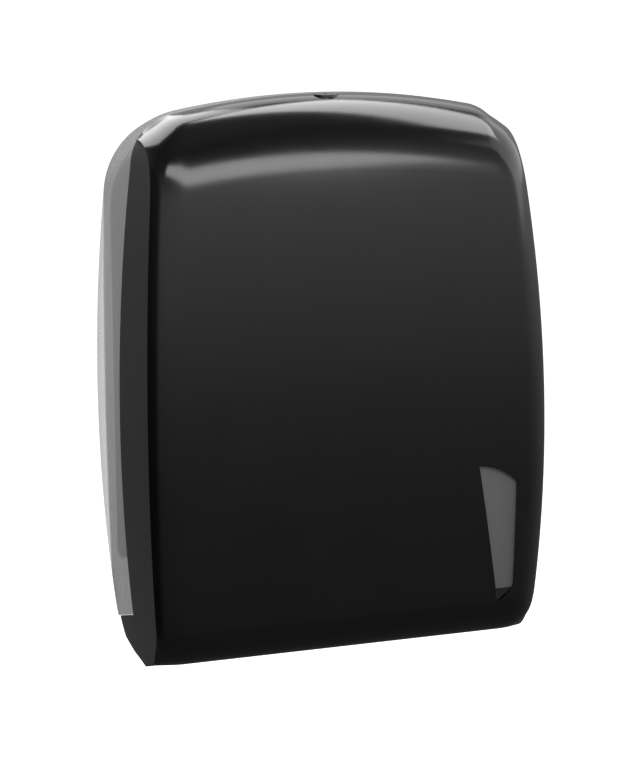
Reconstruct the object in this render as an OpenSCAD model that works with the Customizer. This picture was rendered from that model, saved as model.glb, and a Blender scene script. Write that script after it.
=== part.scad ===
// Wall-hung folded towel dispenser: a black skin over a smoke inner cover that swings down
// from a wall plate, with a shelf and outlet slot inside and a key lock in the top.
// Heights are measured from the lowest point of the cover, depths from the wall outwards.
// x runs to the right of someone facing the front, and the wall is the plane y = 0.

/* [Body] */
// Greatest width, across the rear edge of the inner cover
body_w = 300; // [280:1:330]
// Height from the lowest point of the cover to its crest
body_h = 401; // [390:1:430]
// Greatest depth from the wall to the front
body_d = 140; // [132:1:160]
// Radius of the bowed sides in front view, at the wall
rear_bow = 1330; // [1100:10:1800]
// Height at which the rear edge is widest
rear_wide_h = 188; // [175:1:200]
// Gap between the wall and the rear edge of the cover
rear_gap = 1.5; // [1:0.1:3]
// Fall of the top from its crest back to the wall
top_fall = 10; // [6:0.5:14]
// Height of the rear edge's lower end
rear_low = 4; // [3:0.5:8]
// Radius of the arched top in front view
arch_r = 540; // [480:10:700]
// Radius of the shoulders in front view, at the wall and at the front edge of the smoke strip
shoulder_r = 56; // [48:1:62]
strip_shoulder_r = 34; // [28:1:42]
// Radius of the lower corners in front view
low_corner_r = 2; // [1.5:0.5:4]
// Depth at which the belly turns up to the rear edge
belly_p = 45; // [38:1:50]
// Depth at which the belly starts to roll up to the front
belly_front_p = 100; // [94:1:104]
// Rise of the belly from its lowest point to there
belly_rise = 10; // [8:0.5:12]
// Depth up to which the lower corners stay tight
toe_p = 80; // [74:1:84]
// Rise of the belly up to there
toe_rise = 1.5; // [1:0.5:3]

/* [Front] */
// Width between the crisp edges of the side panels
crease_w = 288.6; // [270:0.2:300]
// Height at which the front is widest
front_wide_h = 160; // [150:1:170]
// Radius of the bowed edges in front view
crease_bow = 1720; // [1500:10:2200]
// Height at which the front stands furthest out
front_peak_h = 128; // [115:1:140]
// Radius of the front in side view
front_bow = 1060; // [900:10:1400]
// Depth of the rolled edge behind the front
roll_drop = 10; // [7:0.5:13]
// Width of the rolled edge
roll_w = 22; // [18:0.5:26]
// Distance that the roll has turned in by the depth of the front
roll_lean = 5; // [3:0.5:8]
// Height of the rolled top, from the crest down
top_roll_h = 46; // [38:1:52]
// Height of the rolled bottom, from the belly up
low_roll_h = 46; // [40:1:50]
// Rise of the belly's front towards the roll
low_lift = 4; // [2:0.5:6]
// Depth of the crest, where the top starts to roll forward
crest_p = 66; // [62:1:76]
// Share of the rolled edge's depth that is left at the crest, where the roll has become a flat facet
facet_share = 0.95; // [0.8:0.05:1.1]
// Share of the rolled bottom over which the rolled edge dies away
low_fade = 0.5; // [0.3:0.05:0.8]

/* [Shells] */
// Wall of the black skin
skin_t = 2.4; // [2:0.1:3]
// Wall of the smoke inner cover
smoke_t = 2.4; // [2:0.1:3]
// Gap between skin and inner cover
shell_gap = 0.25; // [0.2:0.05:0.4]
// Depth at which the skin's sides end and the smoke strip begins
strip_p = 60; // [52:1:61]
// Height of the strip's lower end at the wall
strip_low = 13; // [12:0.5:16]
// Rise of the strip's lower end per millimetre of depth
strip_slope = 0.35; // [0.3:0.01:0.38]
// Height of the inner cover's lower edge behind the front
smoke_low = 52; // [48:1:56]

/* [Level window] */
// Distance from the centre to the outer edge of the window
window_x = 120; // [112:0.5:121]
// Width of the window at its top
window_top_w = 29; // [22:0.5:34]
// Width of the window at its foot
window_foot_w = 14; // [10:0.5:18]
// Height of the window's foot
window_low = 43; // [41:0.5:48]
// Height of the window's inner top corner
window_high = 145; // [130:1:160]
// Fall of the window's top towards its outer edge
window_fall = 13; // [8:0.5:16]
// Rise of the window's foot towards its outer edge
window_slant = 9; // [6:0.5:12]
// Cut at the corners of the window's foot
window_cut = 3; // [2:0.5:4]

/* [Outlet] */
// Distance of the opening's ends under the shelf from the shelf's sides
outlet_in = 2; // [1:0.5:8]
// Depth of the opening's front edge
outlet_front_p = 92; // [88:1:98]
// Thickness of the shelf
shelf_t = 2.5; // [2:0.1:3.5]
// Height of the shelf's top face
shelf_h = 46; // [43:0.5:48]
// Gap between the shelf and the lugs beside it
shelf_side_gap = 1; // [0.6:0.1:3]
// Depth of the shelf's front edge
shelf_front_p = 118; // [110:1:122]
// Height of the shelf's rim above its top face
shelf_rim = 10; // [8:0.5:12]
// Distance of the outlet slot's ends from the shelf's sides
slot_in = 16; // [12:0.5:28]
// Width of the outlet slot from front to back
slot_d = 46; // [38:1:54]
// Depth of the slot's middle
slot_p = 62; // [58:1:66]
// Depth of the throat under the slot
throat_d = 12; // [8:0.5:14]
// Height of the flange that holds the shelf to the plate
flange_h = 30; // [24:1:34]

/* [Wall plate] */
// Thickness of the plate
plate_t = 2.5; // [2:0.1:3.5]
// Gap between the plate's edge and the inner cover where they are nearest
plate_gap = 3.5; // [3:0.1:5]
// Height of the plate's lower edge
plate_low = 62; // [60:1:66]
// Gap between the plate's upper edge and the inside of the top
plate_top_gap = 9; // [7:0.5:14]
// Depth of the plate's rim
rim_d = 14; // [10:0.5:16]
// Height of the tongue's lower edge
tongue_low = 42; // [40:0.5:43]
// Distance across between the wall screw holes
mount_w = 160; // [120:1:180]
// Distance up between the wall screw holes
mount_span = 200; // [150:1:220]
// Height of the middle of the wall screw holes
mount_h = 212; // [195:1:220]
// Diameter of the wall screw holes
mount_hole = 6; // [5:0.1:7]
// Wall round the wall screw holes
mount_wall = 4; // [3:0.5:6]
// Number of upright ribs between the holes
rib_count = 3; // [1:1:5]
// Thickness of the ribs
rib_t = 2; // [1.5:0.1:3]
// Height of ribs and screw bosses above the plate
rib_h = 3; // [2:0.5:5]

/* [Hinge] */
// Depth of the hinge axis
hinge_p = 43; // [42:0.5:46]
// Height of the hinge axis
hinge_h = 30; // [29:0.5:31]
// Diameter of the hinge pins
pin_d = 5; // [4:0.1:6]
// Radial clearance of a pin in the cover's ear
pin_clear = 0.05; // [0.03:0.01:0.08]
// Thickness of the plate's lugs
lug_t = 7; // [5:0.5:8]
// Thickness of the cover's ears
ear_t = 6; // [5:0.5:7]
// Radius of lugs and ears round the pin
eye_r = 8.5; // [7:0.5:9]
// Height of a lug's root above the eye
lug_rise = 36; // [28:1:42]
// Height of an ear above the hinge axis
ear_rise = 46; // [38:1:50]
// Depth of an ear at its top, behind and in front of the hinge axis
ear_back = 17; // [14:0.5:18]
ear_front = 13; // [10:0.5:16]
// Height above the hinge axis at which the web from ear to side wall starts
web_low = 16; // [14:0.5:22]
// Width of the collars of pins and clips beyond the pin
pin_collar = 4; // [3:0.5:5]
// Gap between the end of a pin and the cover's side
pin_side_gap = 3.3; // [2:0.1:6]
// Gap between a lug and an ear
ear_gap = 0.6; // [0.4:0.1:1]
// Radius that the inner cover's lower rear corner is trimmed to, round the hinge
swing_r = 42.3; // [41:0.1:42.5]
// Radius of the skin's heel round the hinge
heel_r = 34.5; // [33:0.1:35]

/* [Towel guides] */
// Distance of a guide's inner face from the shelf's side
guide_in = 10; // [8:0.5:18]
// Depth of a guide's fence
guide_d = 42; // [30:1:50]
// Height of a guide's lower end
guide_low = 86; // [84:1:100]
// Length of a guide
guide_len = 210; // [160:1:230]
// Thickness of a guide
guide_t = 2.2; // [1.8:0.1:3]
// Width of a guide's foot on the plate
guide_foot = 16; // [14:0.5:18]
// Cut at the guide's lower front corner
guide_low_cut = 14; // [8:1:18]
// Cut at the guide's upper front corner, in depth and in height
guide_top_cut = 22; // [14:1:26]
guide_top_drop = 30; // [20:1:40]
// Width and depth of the ribs that stiffen a guide
guide_rib = 3; // [2:0.5:4]
guide_rib_d = 25; // [18:1:28]
// Distance of the guide's screws from its ends
guide_screw_in = 18; // [14:1:30]

/* [Lock] */
// Diameter of the lock's flange
lock_d = 17; // [15:0.5:20]
// Depth of the lock's axis
lock_p = 70; // [69:0.5:72]
// Thickness of the lock's flange
lock_flange_t = 1.6; // [1.2:0.1:2.2]
// Gap under the front edge of the flange, where the top rolls away
lock_lift = 0.2; // [0.1:0.05:0.4]
// Diameter of the lock's barrel
barrel_d = 12; // [11:0.5:13]
// Length of the barrel under the flange
barrel_len = 24; // [22:0.5:28]
// Diameter of the plug
plug_d = 8.2; // [7.5:0.1:8.6]
// Diameter of the plug's head
plug_head_d = 11; // [10:0.1:11.4]
// Width and length of the key slot
key_w = 1.4; // [1:0.1:2]
key_len = 6; // [5:0.1:6.6]
// Width of the nut across its flats
nut_w = 17; // [16:0.5:19]
// Thickness of the nut
nut_t = 4; // [3:0.5:5]
// Thickness of the washer
washer_t = 1; // [0.8:0.1:1.4]
// Least height of the washer's seat under the inside of the top
lock_boss_h = 0.4; // [0.3:0.1:1]
// Width of the washer beyond the nut
washer_over = 3; // [2:0.5:5]
// Thickness of the cam
cam_t = 2.3; // [2:0.1:3]
// Thickness of the stop washer
stop_t = 1.2; // [1:0.1:1.6]
// Diameter of the cam's hub
hub_d = 15; // [12:0.5:16]
// Inner radius of the cam's hook
hook_r = 22; // [21:0.5:24]
// Width of the cam's hook
hook_w = 6; // [5:0.5:7]
// Distance from the lock's axis to the front of the strike's lip
strike_reach = 16; // [15.5:0.1:16.5]
// Width of the strike's lip
strike_w = 16; // [12:0.5:17]
// Thickness of the strike
strike_t = 2; // [1.5:0.1:2.2]
// Width of the strike's foot on the plate
strike_foot_w = 34; // [30:0.5:44]
// Distance of the strike's screws from the ends of its foot
strike_screw_in = 6; // [5:0.5:8]
// Height of the strike's foot
strike_foot_h = 16; // [14:0.5:20]
// Height of the lip above the cam
strike_over = 5; // [4:0.5:6]
// Height of the strike's arm under the cam
strike_under = 8; // [6:0.5:10]

/* [Screws] */
// Diameter of the assembly screws
screw_d = 3; // [2.5:0.1:3.5]
// Diameter of their heads
screw_head_d = 6.4; // [5.5:0.1:7]
// Height of their heads
screw_head_h = 2; // [1.6:0.1:2.4]
// Distance of the shelf's screws from the top of its flange
shelf_screw_drop = 8.3; // [6:0.1:12]
// Distance of the outer screws of the shelf from its sides
shelf_screw_in = 28; // [20:1:40]
// Number of screws that hold the shelf
shelf_screw_count = 4; // [2:1:6]
// Height of the upper screws that hold the skin
skin_screw_high = 327; // [300:1:330]
// Distance between the upper screws that hold the skin
skin_screw_w = 170; // [150:1:190]
// Height of the lower screws that hold the skin
skin_screw_low = 78; // [72:1:90]
// Distance between the lower screws that hold the skin
skin_screw_low_w = 130; // [110:1:150]

/* [Hidden] */

// Rows of the front: how far up the rolled bottom they lie, and how many the front and the rolled top get
low_rows = [0, 0.15, 0.3, 0.45, 0.6, 0.8];
front_steps = 8;
top_steps = 7;
rows = concat(low_rows, [for (k = [0:front_steps - 1]) 1 + k / front_steps],
    [for (k = [0:top_steps]) 2 + k / top_steps]);
// Columns of the front from its middle out, as shares of the width inside the rolled edge and of the roll
columns = [[0, 0], [1 / 3, 0], [2 / 3, 0], [1, 0], [1, 0.32], [1, 0.57], [1, 0.77], [1, 0.91], [1, 1]];
// Far enough to cut right through anything
far = 600;
// Free clearance between parts that don't touch
free = 0.4;
// Thread and shank clearance inside one assembly
snug = 0.05;
// Skin of plastic left at the end of a screw
tip_gap = 0.6;
// Allowance for the flats that the front is drawn with
flats = 0.1;
$fn = 48;

// Black, smoke, light grey and dark grey plastic, and steel
black = [0.09, 0.09, 0.1];
smoke = [0.45, 0.46, 0.48, 0.6];
grey = [0.72, 0.73, 0.74];
dark_grey = [0.2, 0.2, 0.21];
steel = [0.75, 0.76, 0.78];

function ease(t) = let (u = max(0, min(1, t))) u * u * (3 - 2 * u);
function mix(a, b, t) = a + (b - a) * t;

// Upper meeting point of two circles
function meet(c0, r0, c1, r1) =
    let (
        v = c1 - c0,
        l = norm(v),
        s = (l * l + r0 * r0 - r1 * r1) / (2 * l),
        q = sqrt(r0 * r0 - s * s),
        u = v / l,
        pick = u[0] > 0 ? 1 : -1
    )
    c0 + s * u + pick * q * [-u[1], u[0]];

// Depth of the front at a height
function front_p(z) = body_d - pow(z - front_peak_h, 2) / (2 * front_bow);
// Half width of the rear edge and of the crisp edge at a height, and of the side between them
function rear_half(z) = body_w / 2 - pow(z - rear_wide_h, 2) / (2 * rear_bow);
function crease_half(z) = crease_w / 2 - pow(z - front_wide_h, 2) / (2 * crease_bow);
function side_half(p, z) =
    mix(rear_half(z), crease_half(z), (p - rear_gap) / (front_p(z) - roll_drop - rear_gap));

// Lean of the front at a height, in depth per height
function front_lean(z) = (front_peak_h - z) / front_bow;
// Height of the arched top
function top_z(x) = body_h - arch_r + sqrt(arch_r * arch_r - x * x);

// Side view of the front, [[depth, z], outward normal], at a row between 0 and 3: over the rolled bottom
// up to 1, up the front to 2 and over the rolled top to its crest
function profile(v, x) =
    v < 1 ? bend([belly_front_p, belly_rise], belly_rise + low_lift, low_roll_h, v, 1)
    : v > 2 ? bend([crest_p, top_z(x)], top_z(x), top_z(x) - top_roll_h, 3 - v, -1)
    : let (z = mix(low_roll_h, top_z(x) - top_roll_h, v - 1)) [[front_p(z), z], unit([1, -front_lean(z)])];
// Bend from its end c by way of the height k_z to the height f_z on the front, where it runs out smoothly
function bend(c, k_z, f_z, t, way) =
    let (
        f = [front_p(f_z), f_z],
        k = [f[0] + front_lean(f_z) * (k_z - f_z), k_z],
        run = mix(k - c, f - k, t)
    )
    [mix(mix(c, k, t), mix(k, f, t), t), way * unit([run[1], -run[0]])];
function unit(v) = v / norm(v);
function inwards(q, d) = q[0] - d * q[1];

// How far the roll along the side has become a facet, at a row
function facet(v) = ease(v - 2);
// Share of an inset that the crisp edge's roll takes up, on the side and where it is a facet
inset_share = [0.76, 0.29];
// Depth of the roll at the crisp edge
function edge_drop(v, inset) =
    (roll_drop - mix(inset_share[0], inset_share[1], facet(v)) * inset) * mix(1, facet_share, facet(v))
    * ease(v / low_fade);
// Share of that depth across the roll, from 1 at the crisp edge to 0 where the roll ends
function drop_share(e, v) =
    let (lean = roll_lean / roll_w, s = (sqrt(lean * lean + (1 - 2 * lean) * e) - lean) / (1 - 2 * lean))
    mix(pow(1 - s, 2), 1 - e, facet(v));

// Crisp edge at a row, [depth, z], and its half width
function edge_point(v, inset) =
    let (x = crease_half(profile(v, crease_w / 2)[0][1]))
    inwards(profile(v, x), inset + edge_drop(v, inset));
function edge_half(v, inset) =
    let (q = edge_point(v, inset))
    side_half(q[0], q[1]) - inset;

// Point [x, depth, z] of the front at a column and a row, at an inset from its outer surface
function front_point(c, v, inset) =
    let (
        edge = edge_half(v, inset),
        x = c[0] * (edge - roll_w) + c[1] * roll_w,
        e = min(1, (edge - x) / roll_w),
        q = inwards(profile(v, x), inset + edge_drop(v, inset) * drop_share(e, v))
    )
    [x, q[0], q[1]];

row_end = len(rows) - 1;
column_end = len(columns) - 1;
// Whole loop out of its right half, which runs from the middle of the foot to the middle of the top
function closed(half) =
    concat(half, [for (i = [len(half) - 2:-1:1]) [-half[i][0], half[i][1], half[i][2]]]);
// Edge of the front as a loop: out along its foot, up the crisp edge and back along the crest
function front_loop(inset) =
    closed(concat(
        [for (c = columns) front_point(c, rows[0], inset)],
        [for (j = [1:row_end]) front_point(columns[column_end], rows[j], inset)],
        [for (i = [column_end - 1:-1:0]) front_point(columns[i], rows[row_end], inset)]
    ));
// Inner points of the front, row by row from left to right
function front_field(inset) =
    [for (j = [1:row_end - 1]) for (i = [1 - column_end:column_end - 1])
        let (q = front_point(columns[abs(i)], rows[j], inset)) [sign(i) * q[0], q[1], q[2]]];

// Loop at one depth with as many points: a bowed side, an arched top and a flat foot, joined by arcs
function wall_loop(w, wide_h, bow, top, shoulder, tip_share, low, inset, p) =
    let (
        side_c = [w - bow, wide_h],
        top_c = [0, top - arch_r],
        shoulder_c = meet(top_c, arch_r - shoulder, side_c, bow - shoulder),
        corner_r = max(low_corner_r - inset, 1),
        foot = low + inset,
        corner_c = [
            side_c[0] + sqrt(pow(bow - inset - corner_r, 2) - pow(foot + corner_r - wide_h, 2)),
            foot + corner_r
        ],
        a_low = atan2(corner_c[1] - side_c[1], corner_c[0] - side_c[0]),
        a_high = atan2(shoulder_c[1] - side_c[1], shoulder_c[0] - side_c[0]),
        a_top = atan2(shoulder_c[1] - top_c[1], shoulder_c[0] - top_c[0]),
        low_z = corner_c[1] + corner_r * sin(a_low),
        high_z = side_c[1] + (bow - inset) * sin(a_high),
        a_tip = mix(a_high, a_top, tip_share),
        side_rows = len(low_rows) + front_steps
    )
    closed([for (q = concat(
        [for (i = [0:column_end - 1]) [corner_c[0] * foot_share(i), foot]],
        [corner_c + corner_r * [cos((a_low - 90) / 2), sin((a_low - 90) / 2)]],
        [for (j = [1:side_rows]) let (z = mix(low_z, high_z, row_share(j, side_rows)))
            [side_c[0] + sqrt(pow(bow - inset, 2) - pow(z - wide_h, 2)), z]],
        [for (a = concat([for (k = [1:top_steps]) mix(a_high, a_tip, k / top_steps)],
            [for (i = [column_end - 1:-1:inner_column]) mix(a_top, a_tip, columns[i][1])]))
            shoulder_c + (shoulder - inset) * [cos(a), sin(a)]],
        [for (i = [inner_column - 1:-1:0]) let (a = mix(90, a_top, i / inner_column))
            top_c + (arch_r - inset) * [cos(a), sin(a)]]
    )) [q[0], p, q[1]]]);
// Column at which the rolled edge starts
inner_column = 3;
// How far out a column meets the foot, and how far up the side a row meets it
function foot_share(i) =
    front_point(columns[i], rows[0], 0)[0] / front_point(columns[column_end - 1], rows[0], 0)[0];
function row_share(j, last) =
    let (low = edge_point(rows[1], 0)[1])
    (edge_point(rows[j], 0)[1] - low) / (edge_point(rows[last], 0)[1] - low);

// How far round the shoulder the crisp edge's tip meets it, at the wall and at the strip's front edge
tip_shares = [0.5, 0.3];
// Share of the way from the wall to the crisp edge
function part_way(p) = (p - rear_gap) / (body_d - roll_drop - rear_gap);
// Loop round the cover at a depth and a height of its foot, at an inset from its outer surface
function depth_loop(p, low, inset) =
    let (
        s = part_way(p),
        wide_h = mix(rear_wide_h, front_wide_h, s),
        w = side_half(p, wide_h),
        bow = mix(rear_bow, crease_bow, s),
        top = body_h - top_fall * pow(max(0, crest_p - p) / (crest_p - rear_gap), 2),
        near = pow((p - rear_gap) / (strip_p - rear_gap), 2),
        shoulder = mix(shoulder_r, strip_shoulder_r, near),
        tip_share = mix(tip_shares[0], tip_shares[1], near)
    )
    wall_loop(w, wide_h, bow, top, shoulder, tip_share, low, inset, p);
function rear_ring(inset) = depth_loop(rear_gap, rear_low, inset);
function belly_ring(inset) = depth_loop(belly_p, 0, inset);
// Points of a loop that lie on its foot and round the lower corners
function on_foot(i, n) = min(i, n - i) <= column_end + 1;
// Loop at a depth between belly and toe, and the loop at the toe, which leads on to the front's edge
function strip_ring(inset, p) =
    depth_loop(p, mix(0, toe_rise, (p - belly_p) / (toe_p - belly_p)), inset);
function toe_ring(inset) =
    let (
        b = strip_ring(inset, strip_p),
        c = front_loop(inset),
        foot = depth_loop(strip_p, toe_rise, inset),
        n = len(b),
        share = (toe_p - strip_p) / (belly_front_p - strip_p)
    )
    [for (i = [0:n - 1]) let (m = mix(b[i], c[i], share)) on_foot(i, n) ? [m[0], m[1], foot[i][2]] : m];

function reversed(list) = [for (i = [len(list) - 1:-1:0]) list[i]];

// Place of a point of the front among the loop's points, or after them among the inner ones
function front_place(j, i, loop, field) =
    let (c = column_end, m = row_end)
    j == 0 ? loop + (i < c ? 3 * c + 2 * m + i : i - c)
    : i == 2 * c ? loop + c + j
    : j == m ? loop + c + m + 2 * c - i
    : i == 0 ? loop + 3 * c + m + m - j
    : field + (j - 1) * (2 * c - 1) + i - 1;
// Closed wall over inner and outer rings, which start at the rear, and the front at both insets.
// Quads are split alike on both faces, and mirrored from side to side.
module ring_shell(inner, outer, inner_inset, outer_inset) {
    rings = concat(reversed(inner), outer);
    fields = [front_field(inner_inset), front_field(outer_inset)];
    n = len(rings[0]);
    last = (len(rings) - 1) * n;
    points = [for (ring = concat(rings, fields)) for (q = ring) [q[0], -q[1], q[2]]];
    bands = [for (j = [0:len(rings) - 2]) for (i = [0:n - 1])
        let (a = j * n + i, b = j * n + (i + 1) % n, turned = (j < len(inner) - 1) == (i < n / 2))
        for (f = turned ? [[a, a + n, b], [b, a + n, b + n]] : [[a, a + n, b + n], [a, b + n, b]]) f];
    polyhedron(points, concat(bands, front_faces(0, last + n, false),
        front_faces(last, last + n + len(fields[0]), true)));
}
function front_faces(loop, field, outer) =
    [for (j = [0:row_end - 1]) for (i = [0:2 * column_end - 1])
        let (
            a = front_place(j, i, loop, field),
            b = front_place(j, i + 1, loop, field),
            c = front_place(j + 1, i + 1, loop, field),
            d = front_place(j + 1, i, loop, field)
        )
        for (f = i < column_end ? [[a, b, c], [a, c, d]] : [[a, b, d], [b, c, d]])
            outer ? reversed(f) : f];

// Outline [depth, z] drawn in side view and extruded from x0 to x1
module side_prism(outline, x0, x1) {
    translate([x0, 0, 0])
        rotate([90, 0, 90])
            linear_extrude(x1 - x0)
                polygon([for (q = outline) [-q[0], q[1]]]);
}

// Outline [x, z] drawn in front view and extruded from depth p0 to p1
module front_prism(outline, p0, p1) {
    translate([0, -p0, 0])
        rotate([90, 0, 0])
            linear_extrude(p1 - p0)
                polygon(outline);
}

// Round bar along the depth, along x, and upright
module depth_bar(x, z, d, p0, p1) {
    translate([x, -p0, z]) rotate([90, 0, 0]) cylinder(d = d, h = p1 - p0);
}
module cross_bar(p, z, d, x0, x1) {
    translate([x0, -p, z]) rotate([0, 90, 0]) cylinder(d = d, h = x1 - x0);
}
module upright_bar(p, d, z0, z1) {
    translate([0, -p, z0]) cylinder(d = d, h = z1 - z0);
}
module block(x0, x1, p0, p1, z0, z1) {
    translate([x0, -p1, z0]) cube([x1 - x0, p1 - p0, z1 - z0]);
}
// A copy on the left of what is drawn on the right
module both_sides() {
    children();
    mirror([1, 0, 0]) children();
}
// From the heights used here to the frame of the part, whose origin is the middle of the wall screws
module hung() {
    translate([0, 0, -mount_h]) children();
}

// Angle between the points of a rounded corner
turn_step = 15;
// Points of a rectangle with its corners rounded, [x, z]
function rounded(x0, x1, z0, z1, r) =
    [for (c = [[x1 - r, z0 + r, -90], [x1 - r, z1 - r, 0], [x0 + r, z1 - r, 90], [x0 + r, z0 + r, 180]])
        for (t = [0:turn_step:90]) [c[0] + r * cos(c[2] + t), c[1] + r * sin(c[2] + t)]];

// Where the pieces of the hinge lie from the side inwards, and the widths that follow from them
clip_t = 1;
pin_head_t = 2;
pin_end = side_half(hinge_p, hinge_h) - max(smoke_t, skin_t) - pin_side_gap;
ear_out = pin_end - 2 * clip_t;
ear_in = ear_out - ear_t;
lug_out = ear_in - ear_gap;
lug_in = lug_out - lug_t;
shelf_w = 2 * (lug_in - shelf_side_gap);
slot_w = shelf_w - 2 * slot_in;
outlet_w = shelf_w - 2 * outlet_in;
guide_w = shelf_w - 2 * guide_in;
// Points round an eye of the hinge from its foot, in side view
function eye(a0, a1) =
    [for (a = [a0:turn_step:a1]) [hinge_p + eye_r * sin(a), hinge_h - eye_r * cos(a)]];

// How far along the rolled top a depth lies, and the height there at an inset from its outer surface
function roll_turn(p) =
    let (
        low = body_h - top_roll_h,
        lean = front_p(low) + front_lean(low) * top_roll_h,
        a = crest_p - 2 * lean + front_p(low),
        b = 2 * (lean - crest_p)
    )
    (sqrt(b * b - 4 * a * (crest_p - p)) - b) / (2 * a);
function roll_top(inset, p) =
    let (near = profile(3 - roll_turn(p), 0)[1])
    inwards(profile(3 - roll_turn(p + near[0] * inset), 0), inset)[1];

// Heights at the lock, downwards from the crest
stack_t = skin_t + shell_gap + smoke_t;
washer_d = nut_w + washer_over;
lock_boss_d = washer_d + 2;
seat_h = roll_top(0, lock_p + lock_d / 2) + lock_lift;
flange_top = seat_h + lock_flange_t;
smoke_under = body_h - stack_t;
washer_top = roll_top(stack_t, lock_p + washer_d / 2) - lock_boss_h;
lock_boss_top = min(smoke_under, roll_top(stack_t, lock_p + lock_boss_d / 2) + smoke_t - 2 * flats) + flats;
barrel_end = seat_h - barrel_len;
stop_top = barrel_end - free;
cam_top = stop_top - stop_t;
cam_low = cam_top - cam_t;
strike_top = cam_top + strike_over;
strike_leg = cam_low - strike_under;
strike_p = lock_p - strike_reach;
// Square tang of the plug, and the disc and the tab of the stop
tang_w = 4.6;
stop_d = plug_d;
tab_w = 4;
// Depth of the plug's head in the flange
plug_head_t = 1.4;

plate_high = smoke_under - top_fall - plate_top_gap;
plate_half = min(rear_half(plate_low), rear_half(plate_high - shoulder_r)) - smoke_t - plate_gap;
plate_corner = shoulder_r + 2;
boss_d = mount_hole + 2 * mount_wall;
mount_points = [for (x = [-1, 1]) for (z = [-1, 1]) [x * mount_w / 2, mount_h + z * mount_span / 2]];

// Back plate with rim, ribs, screw bosses and the hinge lugs
module plate_outline(inset) {
    polygon(concat(
        [for (a = [0:turn_step:90]) [plate_half - plate_corner + (plate_corner - inset) * cos(a),
            plate_high - plate_corner + (plate_corner - inset) * sin(a)]],
        [for (a = [0:turn_step:90]) [-plate_half + plate_corner - (plate_corner - inset) * sin(a),
            plate_high - plate_corner + (plate_corner - inset) * cos(a)]],
        [[-plate_half + inset, plate_low + inset], [plate_half - inset, plate_low + inset]]
    ));
}
module plate_layer(inset, p0, p1) {
    translate([0, -p0, 0]) rotate([90, 0, 0]) linear_extrude(p1 - p0) plate_outline(inset);
}
module hinge_lug() {
    root = [[plate_t, hinge_h + eye_r + lug_rise], [plate_t, tongue_low]];
    difference() {
        side_prism(concat(eye(0, 180), root), lug_in, lug_out);
        cross_bar(hinge_p, hinge_h, pin_d + 2 * snug, lug_in - 1, lug_out + 1);
    }
}
module wall_plate() {
    rib_step = mount_w / (rib_count + 1);
    color(grey) hung() difference() {
        union() {
            difference() {
                plate_layer(0, 0, rim_d);
                plate_layer(plate_t, plate_t, rim_d + 1);
                block(-lug_in, lug_in, plate_t, far, 0, plate_low + plate_t + 1);
            }
            block(-lug_out, lug_out, 0, plate_t, tongue_low, plate_low + 1);
            for (k = [1:rib_count])
                translate([k * rib_step - mount_w / 2, 0, mount_h])
                    block(-rib_t / 2, rib_t / 2, plate_t / 2, plate_t + rib_h,
                        -mount_span / 2, mount_span / 2);
            for (m = mount_points)
                depth_bar(m[0], m[1], boss_d, 0, plate_t + rib_h);
            both_sides() hinge_lug();
        }
        for (m = mount_points)
            depth_bar(m[0], m[1], mount_hole, -1, far);
        screw_holes(shelf_screw_points);
        screw_holes(guide_screw_points);
        screw_holes(strike_screw_points);
    }
}

// Screw along the depth, with its head on a face at depth p, a cross recess and its shank towards the wall
recess_w = 0.8;
recess_d = 0.9;
head_taper = 0.7;
module screw(x, z, p, len) {
    depth_bar(x, z, screw_d, p - len, p + screw_head_h / 4);
    translate([x, -p, z]) rotate([90, 0, 0])
        difference() {
            cylinder(d1 = screw_head_d, d2 = screw_head_d * head_taper, h = screw_head_h);
            for (a = [0, 90])
                rotate(a)
                    translate([-screw_head_d / 4, -recess_w / 2, screw_head_h - recess_d])
                        cube([screw_head_d / 2, recess_w, screw_head_h]);
        }
}
module screw_holes(points) {
    for (q = points)
        depth_bar(q[0], q[1], screw_d + 2 * snug, -1, far);
}

shelf_screw_span = shelf_w - 2 * shelf_screw_in;
shelf_screw_step = shelf_screw_span / (shelf_screw_count - 1);
shelf_screw_points = [for (k = [0:shelf_screw_count - 1])
    [k * shelf_screw_step - shelf_screw_span / 2, shelf_h + flange_h - shelf_screw_drop]];
flange_t = shelf_t;
shelf_back = plate_t;
shelf_corner_r = 14;
slot_corner_r = 12;
// Share of the shelf's depth that its side gussets reach
gusset = 0.55;

// Shelf under the stack, with rim, throat round the slot and a flange on the plate
module towel_shelf() {
    x = shelf_w / 2;
    low = shelf_h - shelf_t;
    rim_top = shelf_h + shelf_rim;
    color(dark_grey) hung() difference() {
        union() {
            shelf_layer(0, low, rim_top);
            block(-x, x, shelf_back, shelf_back + flange_t, low, shelf_h + flange_h);
            slot_layer(shelf_t, low - throat_d, shelf_h);
            both_sides()
                side_prism([[shelf_back, low], [shelf_front_p * gusset, low],
                    [shelf_back, shelf_h + flange_h]], x - shelf_t, x);
        }
        difference() {
            shelf_layer(shelf_t, shelf_h, far);
            block(-x, x, shelf_back - 1, shelf_back + flange_t, low, far);
        }
        slot_layer(0, low - throat_d - 1, shelf_h + 1);
        screw_holes(shelf_screw_points);
    }
}
module shelf_layer(inset, z0, z1) {
    translate([0, 0, z0])
        linear_extrude(z1 - z0)
            polygon(rounded(-shelf_w / 2 + inset, shelf_w / 2 - inset, -shelf_front_p + inset, -shelf_back,
                shelf_corner_r));
}
module slot_layer(out, z0, z1) {
    translate([0, 0, z0])
        linear_extrude(z1 - z0)
            polygon(rounded(-slot_w / 2 - out, slot_w / 2 + out, -slot_p - slot_d / 2 - out,
                -slot_p + slot_d / 2 + out, slot_corner_r + out));
}
module shelf_screws() {
    color(steel) hung() for (q = shelf_screw_points)
        screw(q[0], q[1], shelf_back + flange_t, flange_t + plate_t - tip_gap);
}

guide_screw_x = guide_w / 2 + guide_foot / 2 + guide_t / 2;
guide_screw_points =
    [for (x = [-1, 1]) for (z = [guide_screw_in, guide_len - guide_screw_in])
        [x * guide_screw_x, guide_low + z]];

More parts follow.
